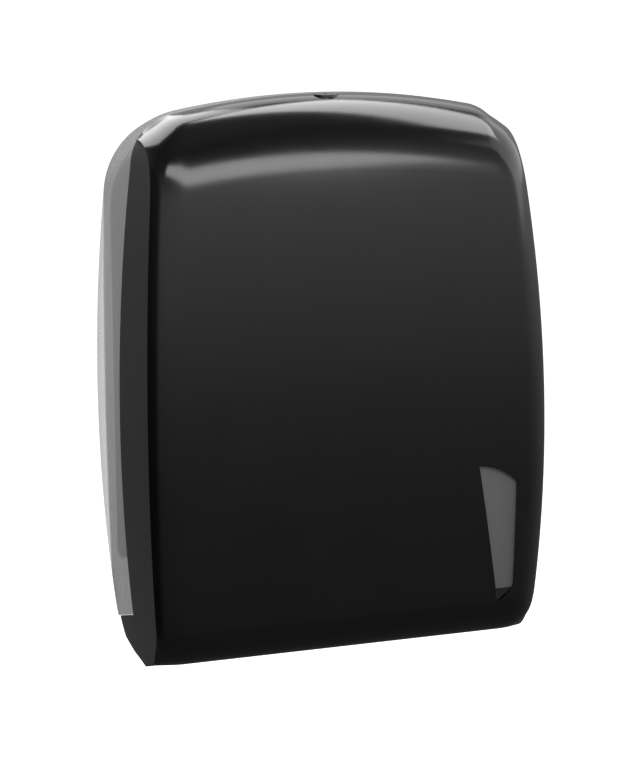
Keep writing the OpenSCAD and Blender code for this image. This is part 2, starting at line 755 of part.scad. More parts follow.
// Upright fence beside the stack, with a foot on the plate and its front corners cut back
module guide() {
    x = guide_w / 2;
    top = guide_low + guide_len;
    fence = [
        [plate_t, guide_low], [guide_d - guide_low_cut, guide_low], [guide_d, guide_low + guide_low_cut],
        [guide_d, top - guide_top_drop], [guide_d - guide_top_cut, top], [plate_t, top]
    ];
    difference() {
        union() {
            side_prism(fence, x, x + guide_t);
            block(x, x + guide_foot, plate_t, plate_t + guide_t, guide_low, top);
            for (z = [guide_len / 3, guide_len * 2 / 3])
                translate([0, 0, guide_low + z])
                    block(x, x + guide_t + guide_rib, plate_t, guide_rib_d, -guide_t / 2, guide_t / 2);
        }
        screw_holes(guide_screw_points);
    }
}
module guide_left() {
    color(grey) hung() mirror([1, 0, 0]) guide();
}
module guide_right() {
    color(grey) hung() guide();
}
module guide_screws() {
    color(steel) hung() for (q = guide_screw_points)
        screw(q[0], q[1], plate_t + guide_t, guide_t + plate_t - tip_gap);
}

strike_screw_x = strike_foot_w / 2 - strike_screw_in;
strike_screw_points = [for (x = [-1, 1]) [x * strike_screw_x, strike_leg - strike_foot_h / 2]];

// Bent strip: a leg on the plate, an arm over the stack and a lip that the cam hooks behind
module strike_plate() {
    foot_x = strike_foot_w / 2;
    foot_low = strike_leg - strike_foot_h;
    color(steel) hung() difference() {
        union() {
            block(-foot_x, foot_x, plate_t, plate_t + strike_t, foot_low, strike_leg + strike_t);
            block(-strike_w / 2, strike_w / 2, plate_t, strike_p, strike_leg, strike_leg + strike_t);
            block(-strike_w / 2, strike_w / 2, strike_p - strike_t, strike_p, strike_leg, strike_top);
        }
        screw_holes(strike_screw_points);
    }
}
module strike_screws() {
    color(steel) hung() for (q = strike_screw_points)
        screw(q[0], q[1], plate_t + strike_t, strike_t + plate_t - tip_gap);
}

// Headed pin through a lug into the cover's ear, and the ring that keeps it in
module hinge_pin() {
    cross_bar(hinge_p, hinge_h, pin_d, lug_in - pin_head_t, pin_end);
    cross_bar(hinge_p, hinge_h, pin_d + pin_collar, lug_in - pin_head_t, lug_in);
}
module hinge_pin_left() {
    color(steel) hung() mirror([1, 0, 0]) hinge_pin();
}
module hinge_pin_right() {
    color(steel) hung() hinge_pin();
}
module hinge_clip() {
    difference() {
        cross_bar(hinge_p, hinge_h, pin_d + pin_collar, ear_out + free, ear_out + free + clip_t);
        cross_bar(hinge_p, hinge_h, pin_d + 2 * snug, ear_out, far);
    }
}
module hinge_clip_left() {
    color(steel) hung() mirror([1, 0, 0]) hinge_clip();
}
module hinge_clip_right() {
    color(steel) hung() hinge_clip();
}

skin_screw_points = concat(
    [for (x = [-1, 1]) [x * skin_screw_w / 2, skin_screw_high]],
    [for (x = [-1, 1]) [x * skin_screw_low_w / 2, skin_screw_low]]
);
skin_boss_d = screw_d + 2;
// Depth under a screw's head, where its rim meets the sloping inside of the inner cover
function skin_seat(z) =
    front_p(z) - stack_t * norm([1, front_lean(z)]) - flats - screw_head_d / 2 * abs(front_lean(z));

// Region of the side where the smoke strip shows, in side view
strip_edge = [[-far, strip_low - far * strip_slope], [strip_p, strip_low + strip_p * strip_slope]];
module lock_hole() {
    upright_bar(lock_p, barrel_d + free, 0, far);
}
// Everything behind and below the hinge that would meet the wall as the cover swings
module swing_trim(r) {
    difference() {
        block(-far, far, -1, hinge_p, -far, hinge_h);
        cross_bar(hinge_p, hinge_h, 2 * r, -far - 1, far + 1);
    }
}

// How far behind the strip's front edge the step starts and ends on the inside
step_back = [3, 1];
// Translucent inner cover: flush side strips by the wall, then a step in under the skin
module smoke_cover() {
    inner = skin_t + shell_gap;
    edge = strip_p - shell_gap;
    outer_rings = [rear_ring(0), belly_ring(0), strip_ring(0, edge), strip_ring(inner, edge),
        toe_ring(inner), front_loop(inner)];
    inner_rings = [rear_ring(smoke_t), belly_ring(smoke_t), strip_ring(smoke_t, edge - step_back[0]),
        strip_ring(stack_t, edge - step_back[1]), toe_ring(stack_t), front_loop(stack_t)];
    web_edge = [for (z = [hinge_h + web_low, hinge_h + ear_rise]) [side_half(hinge_p, z) - smoke_t / 2, z]];
    color(smoke) hung() difference() {
        union() {
            difference() {
                ring_shell(inner_rings, outer_rings, stack_t, inner);
                side_prism([[-far, strip_edge[0][1] + shell_gap], [edge, strip_edge[1][1] + shell_gap],
                    [strip_p, smoke_low], [far, smoke_low], [far, -far], [-far, -far]], -far, far);
            }
            both_sides() {
                side_prism(concat(eye(-90, 90), [[hinge_p + ear_front, hinge_h + ear_rise],
                    [hinge_p - ear_back, hinge_h + ear_rise]]), ear_in, ear_out);
                front_prism(concat([[ear_in, hinge_h + ear_rise], [ear_in, hinge_h + web_low]], web_edge),
                    hinge_p - eye_r, hinge_p + eye_r);
            }
            upright_bar(lock_p, lock_boss_d, washer_top, lock_boss_top);
        }
        both_sides() cross_bar(hinge_p, hinge_h, pin_d + 2 * pin_clear, ear_in - 1, ear_out + 1);
        lock_hole();
        swing_trim(swing_r);
        for (q = skin_screw_points)
            depth_bar(q[0], q[1], skin_boss_d + 2 * shell_gap, belly_front_p, far);
    }
}

// Window cut-out: a leaning inner edge, a bowed top and a slanted foot with a cut corner
window_in = window_x - window_foot_w;
window_foot = [
    [window_in, window_low + window_slant], [window_in, window_low + window_cut],
    [window_in + window_cut, window_low], [window_x - 1, window_low + window_slant],
    [window_x, window_low + window_slant + window_cut]
];
window_shape = concat(window_foot, [for (t = [0:0.2:1])
    [window_x - window_top_w * t, window_high - window_fall * pow(1 - t, 2)]]);

// Black outer shell with the window, the outlet's lip and four bosses for its screws
module front_skin() {
    edge = strip_p - shell_gap;
    inner_rings = [rear_ring(skin_t), belly_ring(skin_t), strip_ring(skin_t, edge), toe_ring(skin_t),
        front_loop(skin_t)];
    outer_rings = [rear_ring(0), belly_ring(0), strip_ring(0, edge), toe_ring(0), front_loop(0)];
    color(black) hung() difference() {
        union() {
            difference() {
                ring_shell(inner_rings, outer_rings, skin_t, 0);
                side_prism([strip_edge[0], strip_edge[1], [strip_p, far], [-far, far]], -far, far);
                block(-outlet_w / 2, outlet_w / 2, -1, outlet_front_p, -1, smoke_low);
                block(-lug_out - 1, lug_out + 1, -1, hinge_p, -1, smoke_low);
                front_prism(window_shape, belly_front_p, far);
            }
            for (q = skin_screw_points)
                depth_bar(q[0], q[1], skin_boss_d, front_p(q[1]) - stack_t,
                    front_p(q[1]) - skin_t / 2);
        }
        swing_trim(heel_r);
        lock_hole();
        upright_bar(lock_p, lock_d + free, seat_h, far);
        for (q = skin_screw_points)
            depth_bar(q[0], q[1], screw_d + 2 * snug, belly_front_p, front_p(q[1]) - skin_t / 2);
    }
}
module skin_screws() {
    color(steel) hung() for (q = skin_screw_points)
        translate([q[0], -skin_seat(q[1]), q[1]])
            rotate([0, 0, 180])
                screw(0, 0, 0, front_p(q[1]) - skin_t / 2 - free - skin_seat(q[1]));
}

// Barrel of the lock, clamped through both shells by a washer and a nut. Its lower end carries a skirt
// with a gap that the tab of the stop turns in.
skirt_low = cam_top + free;
skirt_gap = [-118, 28];
module lock_housing() {
    gap = [for (a = [skirt_gap[0], mix(skirt_gap[0], skirt_gap[1], 0.5), skirt_gap[1]])
        barrel_d * [cos(a), sin(a)]];
    color(steel) hung() difference() {
        union() {
            upright_bar(lock_p, barrel_d, skirt_low, seat_h);
            upright_bar(lock_p, lock_d, seat_h, flange_top);
        }
        upright_bar(lock_p, plug_d + 2 * pin_clear, 0, far);
        upright_bar(lock_p, plug_head_d + 2 * pin_clear, flange_top - plug_head_t - free, far);
        upright_bar(lock_p, stop_d + 2 * free, 0, barrel_end);
        translate([0, -lock_p, skirt_low - 1])
            linear_extrude(barrel_end - skirt_low + 1)
                polygon(concat([[0, 0]], gap));
    }
}
module lock_washer() {
    color(steel) hung() difference() {
        upright_bar(lock_p, washer_d, washer_top - washer_t, washer_top);
        upright_bar(lock_p, barrel_d + 2 * snug, 0, far);
    }
}
module lock_nut() {
    color(steel) hung() difference() {
        translate([0, -lock_p, washer_top - washer_t - nut_t])
            cylinder(d = nut_w / cos(30), h = nut_t, $fn = 6);
        upright_bar(lock_p, barrel_d + 2 * snug, 0, far);
    }
}

// Plug with its key slot, and a square tang that carries stop and cam
module lock_plug() {
    color(steel) hung() difference() {
        union() {
            upright_bar(lock_p, plug_d, stop_top, flange_top);
            upright_bar(lock_p, plug_head_d, flange_top - plug_head_t, flange_top);
            translate([0, -lock_p, 0]) tang(tang_w, cam_low + free, stop_top + 1);
        }
        block(-key_w / 2, key_w / 2, lock_p - key_len / 2, lock_p + key_len / 2, seat_h - key_len, far);
        upright_bar(lock_p, screw_d + 2 * snug, 0, stop_top + 2 * screw_d);
    }
}
module tang(w, z0, z1) {
    block(-w / 2, w / 2, -w / 2, w / 2, z0, z1);
}
module square_hole() {
    translate([0, -lock_p, 0]) tang(tang_w + 2 * snug, 0, far);
}
module lock_stop() {
    color(steel) hung() difference() {
        union() {
            upright_bar(lock_p, stop_d, cam_top, stop_top);
            block(-tab_w / 2, tab_w / 2, lock_p, lock_p + barrel_d / 2, cam_top, stop_top);
        }
        square_hole();
    }
}

// Hooked cam, drawn as it lies unlocked: the hook is out to the right and swings back behind the lip
hook_from = -48;
hook_to = 18;
hook_steps = 8;
// Angle by which the inside of the hook starts later than its outside, and half the angle of the arm's root
hook_lead = 16;
root_turn = 50;
root_r = 4;
function hook_arc(r, a0, a1) =
    [for (k = [0:hook_steps]) let (a = mix(a0, a1, k / hook_steps)) r * [cos(a), sin(a)]];
module lock_cam() {
    arm = hook_from + hook_lead / 2;
    color(steel) hung() difference() {
        translate([0, -lock_p, cam_low]) {
            cylinder(d = hub_d, h = cam_t);
            linear_extrude(cam_t)
                polygon(concat(hook_arc(hook_r, hook_from + hook_lead, hook_to),
                    reversed(hook_arc(hook_r + hook_w, hook_from, hook_to)),
                    [for (a = [arm - root_turn, arm + root_turn]) root_r * [cos(a), sin(a)]]));
        }
        square_hole();
    }
}
module cam_screw() {
    color(steel) hung() {
        upright_bar(lock_p, screw_d, cam_low - screw_head_h / 2, stop_top + 2 * screw_d - free);
        upright_bar(lock_p, screw_head_d + 1, cam_low - screw_head_h, cam_low);
    }
}

wall_plate();
towel_shelf();
shelf_screws();
guide_left();
guide_right();
guide_screws();
strike_plate();
strike_screws();
hinge_pin_left();
hinge_pin_right();
hinge_clip_left();
hinge_clip_right();
smoke_cover();
front_skin();
skin_screws();
lock_housing();
lock_washer();
lock_nut();
lock_plug();
lock_stop();
lock_cam();
cam_screw();
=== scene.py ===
"""Folded towel dispenser: shells, lock, inner pieces, finishes and studio, built round the CAD frame."""

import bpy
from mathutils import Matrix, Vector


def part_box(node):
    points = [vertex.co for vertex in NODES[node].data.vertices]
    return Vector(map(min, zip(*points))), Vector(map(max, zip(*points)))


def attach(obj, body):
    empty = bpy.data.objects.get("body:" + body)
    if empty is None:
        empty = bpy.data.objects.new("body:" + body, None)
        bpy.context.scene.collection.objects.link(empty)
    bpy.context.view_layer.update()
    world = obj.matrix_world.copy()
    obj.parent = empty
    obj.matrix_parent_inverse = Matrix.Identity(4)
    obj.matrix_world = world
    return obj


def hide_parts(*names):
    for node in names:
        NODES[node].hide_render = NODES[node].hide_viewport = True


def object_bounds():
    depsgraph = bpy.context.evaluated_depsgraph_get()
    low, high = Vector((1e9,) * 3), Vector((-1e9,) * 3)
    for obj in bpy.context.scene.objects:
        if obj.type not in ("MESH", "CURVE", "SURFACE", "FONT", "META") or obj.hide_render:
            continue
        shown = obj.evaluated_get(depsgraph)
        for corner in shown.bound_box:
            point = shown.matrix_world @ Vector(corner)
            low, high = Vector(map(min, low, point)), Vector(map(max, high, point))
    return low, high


bl_info = {
    "name": "Folded towel dispenser",
    "version": (1, 0, 0),
    "blender": (4, 5, 0),
    "location": "View3D > Sidebar > Towel dispenser",
    "description": "Builds the shells, lock, inner pieces, finishes and studio of a folded towel dispenser",
    "category": "Object",
}

import math

import bmesh
import bpy
from bpy.props import FloatProperty, FloatVectorProperty, PointerProperty
from mathutils import Matrix, Quaternion, Vector
from mathutils.kdtree import KDTree

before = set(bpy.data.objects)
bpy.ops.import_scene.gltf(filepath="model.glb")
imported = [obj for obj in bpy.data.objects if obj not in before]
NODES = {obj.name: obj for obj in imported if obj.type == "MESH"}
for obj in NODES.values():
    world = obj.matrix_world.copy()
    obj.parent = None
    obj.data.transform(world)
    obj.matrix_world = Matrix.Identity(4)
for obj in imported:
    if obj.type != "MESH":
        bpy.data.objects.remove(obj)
CAD_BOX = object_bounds()

# Height of the wall screws' middle, which is the frame's origin, above the cover's lowest point
MOUNT_H = 0.212
# Right ends of the hinge pins and of the shelf
PIN_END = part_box("hinge_pin_right")[1].x
SHELF_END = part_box("towel_shelf")[1].x
# Distances from the pin's end in to the lug's outer face and to the ear's inner and outer faces
LUG_BACK, EAR_IN_BACK, EAR_OUT_BACK = 0.0086, 0.008, 0.002
# How far the shelf's ends reach over the outlet's edges
SHELF_LAP = 0.002


def number(name, description, default, **settings):
    """A value that a user would change."""
    return FloatProperty(name=name, description=description, default=default, **settings)


def length(name, description, default):
    """A size in metres."""
    return number(name, description, default, unit="LENGTH", precision=4)


def share(name, description, default):
    """A value between 0 and 1."""
    return number(name, description, default, min=0.0, max=1.0, subtype="FACTOR")


def colour(name, description, default):
    """A linear colour."""
    return FloatVectorProperty(name=name, description=description, default=default, subtype="COLOR",
                               size=3, min=0.0, max=1.0)


class ShellSizes(bpy.types.PropertyGroup):
    """Sizes of the two shells, heights from the cover's lowest point and depths from the wall."""
    body_w: length("Width", "Greatest width, across the rear edge", 0.300)
    body_h: length("Height", "Height from the lowest point to the crest", 0.401)
    body_d: length("Depth", "Greatest depth from the wall to the front", -CAD_BOX[0][1])
    rear_bow: length("Rear bow", "Radius of the bowed sides at the wall", 1.330)
    rear_wide_h: length("Rear widest height", "Height at which the rear edge is widest", 0.188)
    rear_gap: length("Rear gap", "Gap between the wall and the cover's rear edge", 0.0015)
    top_fall: length("Top fall", "Fall of the top from its crest back to the wall", 0.010)
    rear_low: length("Rear low", "Height of the rear edge's lower end", 0.004)
    arch_r: length("Arch", "Radius of the arched top", 0.540)
    shoulder_r: length("Shoulder", "Radius of the rear shoulders", 0.056)
    strip_shoulder_r: length("Strip shoulder", "Radius of the shoulders at the strip's front edge", 0.034)
    low_corner_r: length("Lower corner", "Radius of the lower corners", 0.002)
    belly_p: length("Belly depth", "Depth at which the belly turns up to the rear", 0.045)
    belly_front_p: length("Belly front", "Depth at which the belly rolls up to the front", 0.100)
    belly_rise: length("Belly rise", "Rise of the belly up to there", 0.010)
    toe_p: length("Toe depth", "Depth up to which the lower corners stay tight", 0.080)
    toe_rise: length("Toe rise", "Rise of the belly up to the toe", 0.0015)
    crease_w: length("Edge width", "Width between the crisp edges", 0.2886)
    crease_bow: length("Edge bow", "Radius of the bowed crisp edges", 1.720)
    front_wide_h: length("Front widest height", "Height at which the front is widest", 0.160)
    front_peak_h: length("Front peak", "Height at which the front stands furthest out", 0.128)
    front_bow: length("Front bow", "Radius of the front in side view", 1.060)
    roll_drop: length("Roll drop", "Depth of the rolled edge behind the front", 0.010)
    roll_w: length("Roll width", "Width of the rolled edge", 0.022)
    roll_lean: length("Roll lean", "Distance that the roll turns in", 0.005)
    facet_share: share("Facet share", "Depth of the upper corners' facet, as a share of the roll's", 0.95)
    low_fade: share("Lower fade", "Share of the rolled bottom over which the crisp edge fades in", 0.5)
    top_roll_h: length("Top roll", "Height of the rolled top", 0.046)
    low_roll_h: length("Lower roll", "Height of the rolled bottom", 0.046)
    low_lift: length("Lower lift", "Rise of the belly's front towards the roll", 0.004)
    crest_p: length("Crest depth", "Depth of the crest", 0.066)
    skin_t: length("Skin wall", "Wall of the black skin", 0.0024)
    smoke_t: length("Cover wall", "Wall of the smoke inner cover", 0.0024)
    shell_gap: length("Shell gap", "Gap between skin and inner cover", 0.00025)
    strip_p: length("Strip depth", "Depth at which the skin ends and the smoke strip begins", 0.060)
    strip_low: length("Strip foot", "Height of the strip's lower end at the wall", 0.013)
    strip_slope: number("Strip slope", "Rise of the strip's lower end per depth", 0.35)
    smoke_low: length("Cover foot", "Height of the inner cover's lower edge behind the front", 0.052)
    edge_round: length("Edge rounding", "Rounding of the moulded edges", 0.0005)


class OpeningSizes(bpy.types.PropertyGroup):
    """Window, outlet, hinge and lock sizes that cut the shells."""
    window_x: length("Window edge", "Distance from the centre to the window's outer edge", 0.120)
    window_top_w: length("Window top", "Width of the window at its top", 0.029)
    window_foot_w: length("Window foot", "Width of the window at its foot", 0.014)
    window_low: length("Window low", "Height of the window's foot", 0.043)
    window_high: length("Window high", "Height of the window's inner top corner", 0.145)
    window_fall: length("Window fall", "Fall of the window's top towards its outer edge", 0.013)
    window_slant: length("Window slant", "Rise of the window's foot towards its outer edge", 0.009)
    window_cut: length("Window cut", "Cut at the corners of the window's foot", 0.003)
    outlet_w: length("Outlet width", "Width of the opening under the shelf", 2 * (SHELF_END - SHELF_LAP))
    outlet_front_p: length("Outlet front", "Depth of the opening's front edge", 0.092)
    hinge_p: length("Hinge depth", "Depth of the hinge axis", 0.043)
    hinge_h: length("Hinge height", "Height of the hinge axis", 0.030)
    swing_r: length("Swing radius", "Radius of the inner cover's lower rear corner", 0.0423)
    heel_r: length("Heel radius", "Radius of the skin's heel", 0.0345)
    lug_out: length("Lug face", "Distance from the centre to the lugs' outer faces", PIN_END - LUG_BACK)
    eye_r: length("Eye radius", "Radius of the ears round the pins", 0.0085)
    pin_r: length("Pin hole", "Radius of the holes for the hinge pins", 0.00255)
    ear_in: length("Ear inner face", "Distance from the centre to the ears", PIN_END - EAR_IN_BACK)
    ear_out: length("Ear outer face", "Distance from the centre to the ears' outer faces",
                    PIN_END - EAR_OUT_BACK)
    lock_p: length("Lock depth", "Depth of the lock's axis", 0.070)
    lock_hole_r: length("Lock hole", "Radius of the hole for the lock", 0.0062)
    lock_seat_r: length("Lock seat", "Radius of the flat for the lock's flange", 0.0087)


class Finishes(bpy.types.PropertyGroup):
    """Colours and finishes."""
    skin_colour: colour("Skin", "Colour of the black skin", (0.0034, 0.0034, 0.0037))
    skin_roughness: share("Skin roughness", "Roughness of the black skin", 0.15)
    # The smoke cover is one plastic: its strips' lighter tone is painted light, and its darker tone behind
    # the skin is painted shade
    strip_colour: colour("Side strip", "Colour of the smoke cover's side strips", (0.27, 0.27, 0.275))
    smoke_colour: colour("Smoke", "Colour of the smoke cover behind the skin", (0.17, 0.17, 0.174))
    smoke_density: share("Smoke density", "How much one face of the smoke cover hides", 0.75)
    rim_density: share("Rim density", "How much one face hides along the clear rear rim", 0.40)
    rim_x: length("Clear rim", "Distance from the centre at which the rear rim is clear", 0.1415)
    rim_slope: number("Clear rim's taper", "Distance that the clear rim loses per depth", 0.33)
    plate_colour: colour("Plate", "Colour of the wall plate", (0.74, 0.75, 0.76))
    guide_colour: colour("Guides", "Colour of the guides", (0.15, 0.15, 0.155))
    shelf_colour: colour("Shelf", "Colour of the shelf", (0.018, 0.018, 0.020))
    steel_colour: colour("Steel", "Colour of screws, strike and cam", (0.52, 0.53, 0.54))
    nickel_colour: colour("Nickel", "Colour of the lock's face", (0.16, 0.16, 0.165))
    bevel: length("Bevel", "Rounding of the edges of the inner pieces", 0.00035)


class Studio(bpy.types.PropertyGroup):
    """Floor, lights and camera."""
    floor_drop: length("Floor drop", "Height of the dispenser's middle above the floor", 1.25)
    floor_colour: colour("Floor", "Colour of the floor", (0.86, 0.86, 0.86))
    floor_glow: number("Floor glow", "Light that the lit floor adds to its colour", 0.9, min=0.0)
    sky: number("Sky", "Brightness of the room", 1.0, min=0.0)
    lights: number("Softboxes", "Brightness of the softboxes", 1.0, min=0.0)
    lights_away: length("Softbox distance", "Distance of the softboxes from the dispenser", 2.3)
    lens: number("Lens", "Focal length of the camera", 108.9, unit="CAMERA")


def shells():
    return bpy.context.scene.dispenser_shells


def cuts():
    return bpy.context.scene.dispenser_openings


def looks():
    return bpy.context.scene.dispenser_finishes


# Shapes of the shells, as [x, depth, height]. Columns run out from the front's middle, as shares of the
# width inside the rolled edge and of the roll. Rows run over the rolled bottom to LOW_END, up the front to
# FRONT_END and over the rolled top to CREST.
LOW_END, FRONT_END, CREST = 1, 2, 3
LOW_ROWS = [0, 0.05, 0.10, 0.15, 0.22, 0.29, 0.36, 0.43, 0.5, 0.6, 0.7, 0.8, 0.9]
ROLL_SHARES = (0.1, 0.2, 0.3, 0.4, 0.5, 0.59, 0.68, 0.76, 0.83, 0.89, 0.93, 0.97, 1.0)
# Steps up the front, over its rolled top, out to its rolled edge, round half a lower corner, along walls
FRONT_STEPS, TOP_STEPS, INNER_STEPS, CORNER_STEPS, WALL_STEPS = 36, 28, 24, 3, 6
ROWS = (LOW_ROWS + [LOW_END + k / FRONT_STEPS for k in range(FRONT_STEPS)]
        + [FRONT_END + k / TOP_STEPS for k in range(TOP_STEPS + 1)])
COLUMNS = [(k / INNER_STEPS, 0.0) for k in range(INNER_STEPS + 1)] + [(1.0, c) for c in ROLL_SHARES]
# Numbers of the last row, of the last column and of the row at FRONT_END
ROW_END, COLUMN_END, SIDE_END = len(ROWS) - 1, len(COLUMNS) - 1, len(LOW_ROWS) + FRONT_STEPS
# Share of an inset that the crisp edge's roll takes up, on the side and where it is a facet
INSET_SHARE = (0.76, 0.29)
# Row from which the facet's inner border softens, and half of its width before there and at the crest, in
# roll widths
SOFT_ROW, SOFT_LEAST, SOFT_CREST = 2.3, 0.001, 0.3
# How far round the shoulder the crisp edge's tip meets it, at the wall and at the strip's front edge
TIP_SHARES = (0.5, 0.3)
# Least radius of the lower corners inside the wall
CORNER_LEAST = 0.001
# How far behind the strip's front edge the step in the inner cover's inner face begins and ends
STEP_BACK = (0.003, 0.001)


def mix(a, b, t):
    return a + (b - a) * t


def ease(t):
    """Smooth step from 0 to 1."""
    u = max(0.0, min(1.0, t))
    return u * u * (3 - 2 * u)


def meet(c0, r0, c1, r1):
    """Upper meeting point of two circles."""
    way = c1 - c0
    gap = way.length
    s = (gap * gap + r0 * r0 - r1 * r1) / (2 * gap)
    q = math.sqrt(r0 * r0 - s * s)
    u = way / gap
    pick = 1 if u.x > 0 else -1
    return c0 + s * u + pick * q * Vector((-u.y, u.x))


def angle(c, p):
    """Direction from a centre to a point."""
    return math.atan2(p.y - c.y, p.x - c.x)


def on_arc(c, r, a):
    return c + r * Vector((math.cos(a), math.sin(a)))


def front_p(z):
    """Depth of the front at a height."""
    s = shells()
    return s.body_d - (z - s.front_peak_h) ** 2 / (2 * s.front_bow)


def front_lean(z):
    """Lean of the front at a height, in depth per height."""
    s = shells()
    return (s.front_peak_h - z) / s.front_bow


def crease_half(z):
    """Half width between the crisp edges at a height."""
    s = shells()
    return s.crease_w / 2 - (z - s.front_wide_h) ** 2 / (2 * s.crease_bow)


def side_half(p, z):
    """Half width of the side at a depth and a height."""
    s = shells()
    rear = s.body_w / 2 - (z - s.rear_wide_h) ** 2 / (2 * s.rear_bow)
    return mix(rear, crease_half(z), (p - s.rear_gap) / (front_p(z) - s.roll_drop - s.rear_gap))


def top_z(x):
    """Height of the arched top at its crest."""
    s = shells()
    return s.body_h - s.arch_r + math.sqrt(s.arch_r ** 2 - x * x)


def bend(c, k_z, f_z, t, way):
    """Bend from its end c by way of the height k_z to the height f_z on the front, which it runs into."""
    f = Vector((front_p(f_z), f_z))
    k = Vector((f.x + front_lean(f_z) * (k_z - f_z), k_z))
    run = (k - c).lerp(f - k, t)
    return c.lerp(k, t).lerp(k.lerp(f, t), t), way * Vector((run.y, -run.x)).normalized()


def profile(v, x):
    """Side view of the front at a row: [depth, height] and outward normal."""
    s = shells()
    if v < LOW_END:
        low = Vector((s.belly_front_p, s.belly_rise))
        return bend(low, s.belly_rise + s.low_lift, s.low_roll_h, v, 1)
    top = top_z(x)
    if v > FRONT_END:
        return bend(Vector((s.crest_p, top)), top, top - s.top_roll_h, CREST - v, -1)
    z = mix(s.low_roll_h, top - s.top_roll_h, v - LOW_END)
    return Vector((front_p(z), z)), Vector((1, -front_lean(z))).normalized()


def inwards(q, d):
    """Point of the side view, moved in along its normal."""
    return q[0] - d * q[1]


def facet(v):
    """How far the roll along the side has become a facet, at a row."""
    return ease(v - FRONT_END)


def edge_drop(v, inset):
    """Depth of the roll at the crisp edge."""
    s = shells()
    taken = mix(*INSET_SHARE, facet(v)) * inset
    return (s.roll_drop - taken) * mix(1, s.facet_share, facet(v)) * ease(v / s.low_fade)


def drop_share(e, v):
    """Share of the edge's drop at e roll widths in from it, from 1 there to 0 where the roll ends."""
    # The roll is a bend that runs in by 2 * lean * s + (1 - 2 * lean) * s ** 2 and drops by (1 - s) ** 2
    lean = shells().roll_lean / shells().roll_w
    s = (math.sqrt(lean * lean + (1 - 2 * lean) * min(1.0, e)) - lean) / (1 - 2 * lean)
    soft = SOFT_CREST * ease((v - SOFT_ROW) / (CREST - SOFT_ROW)) + SOFT_LEAST
    flat = 1 - e if e < 1 - soft else max(0.0, 1 + soft - e) ** 2 / (4 * soft)
    return mix((1 - s) ** 2, flat, facet(v))


def edge_point(v, inset):
    """Crisp edge at a row, [depth, height]."""
    x = crease_half(profile(v, shells().crease_w / 2)[0].y)
    return inwards(profile(v, x), inset + edge_drop(v, inset))


def front_point(c, v, inset):
    """Point of the front at a column and a row, at an inset from its outer surface."""
    roll = shells().roll_w
    edge = side_half(*edge_point(v, inset)) - inset
    x = c[0] * (edge - roll) + c[1] * roll
    q = inwards(profile(v, x), inset + edge_drop(v, inset) * drop_share((edge - x) / roll, v))
    return Vector((x, q.x, q.y))


def flipped(q):
    """Point on the other side of the middle."""
    return Vector((-q.x, q.y, q.z))


def closed(half):
    """Whole loop out of its right half, which runs from the middle of the foot to the middle of the top."""
    return half + [flipped(q) for q in half[-2:0:-1]]


def front_row(v, inset):
    """Row of the whole front, from left to right."""
    right = [front_point(c, v, inset) for c in COLUMNS]
    return [flipped(q) for q in right[:0:-1]] + right


def front_loop(inset):
    """Edge of the front: out along its foot, up the crisp edge and back along the crest."""
    foot = [front_point(c, ROWS[0], inset) for c in COLUMNS]
    side = [front_point(COLUMNS[-1], v, inset) for v in ROWS[1:]]
    crest = [front_point(c, ROWS[-1], inset) for c in COLUMNS[-2::-1]]
    return closed(foot + side + crest)


def depth_loop(p, low, inset):
    """Loop at one depth, point for point with the front's edge: foot, bowed side and arched top."""
    s = shells()
    way = (p - s.rear_gap) / (s.body_d - s.roll_drop - s.rear_gap)
    near = ((p - s.rear_gap) / (s.strip_p - s.rear_gap)) ** 2
    wide_h = mix(s.rear_wide_h, s.front_wide_h, way)
    bow = mix(s.rear_bow, s.crease_bow, way)
    shoulder = mix(s.shoulder_r, s.strip_shoulder_r, near)
    top = s.body_h - s.top_fall * (max(0.0, s.crest_p - p) / (s.crest_p - s.rear_gap)) ** 2
    corner_r = max(s.low_corner_r - inset, CORNER_LEAST)
    foot = low + inset

    side_c = Vector((side_half(p, wide_h) - bow, wide_h))
    top_c = Vector((0.0, top - s.arch_r))
    shoulder_c = meet(top_c, s.arch_r - shoulder, side_c, bow - shoulder)
    reach = math.sqrt((bow - inset - corner_r) ** 2 - (foot + corner_r - wide_h) ** 2)
    corner_c = Vector((side_c.x + reach, foot + corner_r))
    a_low, a_high, a_top = angle(side_c, corner_c), angle(side_c, shoulder_c), angle(top_c, shoulder_c)
    a_tip = mix(a_high, a_top, mix(*TIP_SHARES, near))

    # Foot, spaced as the front's foot is, and lower corner
    out = [front_point(c, ROWS[0], 0.0).x for c in COLUMNS[:COLUMN_END - CORNER_STEPS + 1]]
    half = [Vector((corner_c.x * x / out[-1], foot)) for x in out[:-1]]
    half += [on_arc(corner_c, corner_r, mix(-math.pi / 2, a_low, k / (2 * CORNER_STEPS)))
             for k in range(2 * CORNER_STEPS)]
    # Side, spaced as the crisp edge is
    heights = [edge_point(v, 0.0).y for v in ROWS[CORNER_STEPS:SIDE_END + 1]]
    low_z = corner_c.y + corner_r * math.sin(a_low)
    high_z = side_c.y + (bow - inset) * math.sin(a_high)
    for h in heights:
        z = mix(low_z, high_z, (h - heights[0]) / (heights[-1] - heights[0]))
        half.append(Vector((side_c.x + math.sqrt((bow - inset) ** 2 - (z - wide_h) ** 2), z)))
    # Shoulder, up to the tip and on from it, and arch
    turns = [mix(a_high, a_tip, k / TOP_STEPS) for k in range(1, TOP_STEPS + 1)]
    turns += [mix(a_top, a_tip, c) for c in ROLL_SHARES[-2::-1]] + [a_top]
    half += [on_arc(shoulder_c, shoulder - inset, a) for a in turns]
    half += [on_arc(top_c, s.arch_r - inset, mix(math.pi / 2, a_top, k / INNER_STEPS))
             for k in reversed(range(INNER_STEPS))]
    return closed([Vector((q.x, p, q.y)) for q in half])


def strip_ring(inset, p):
    """Loop at a depth between belly and toe."""
    s = shells()
    return depth_loop(p, mix(0.0, s.toe_rise, (p - s.belly_p) / (s.toe_p - s.belly_p)), inset)


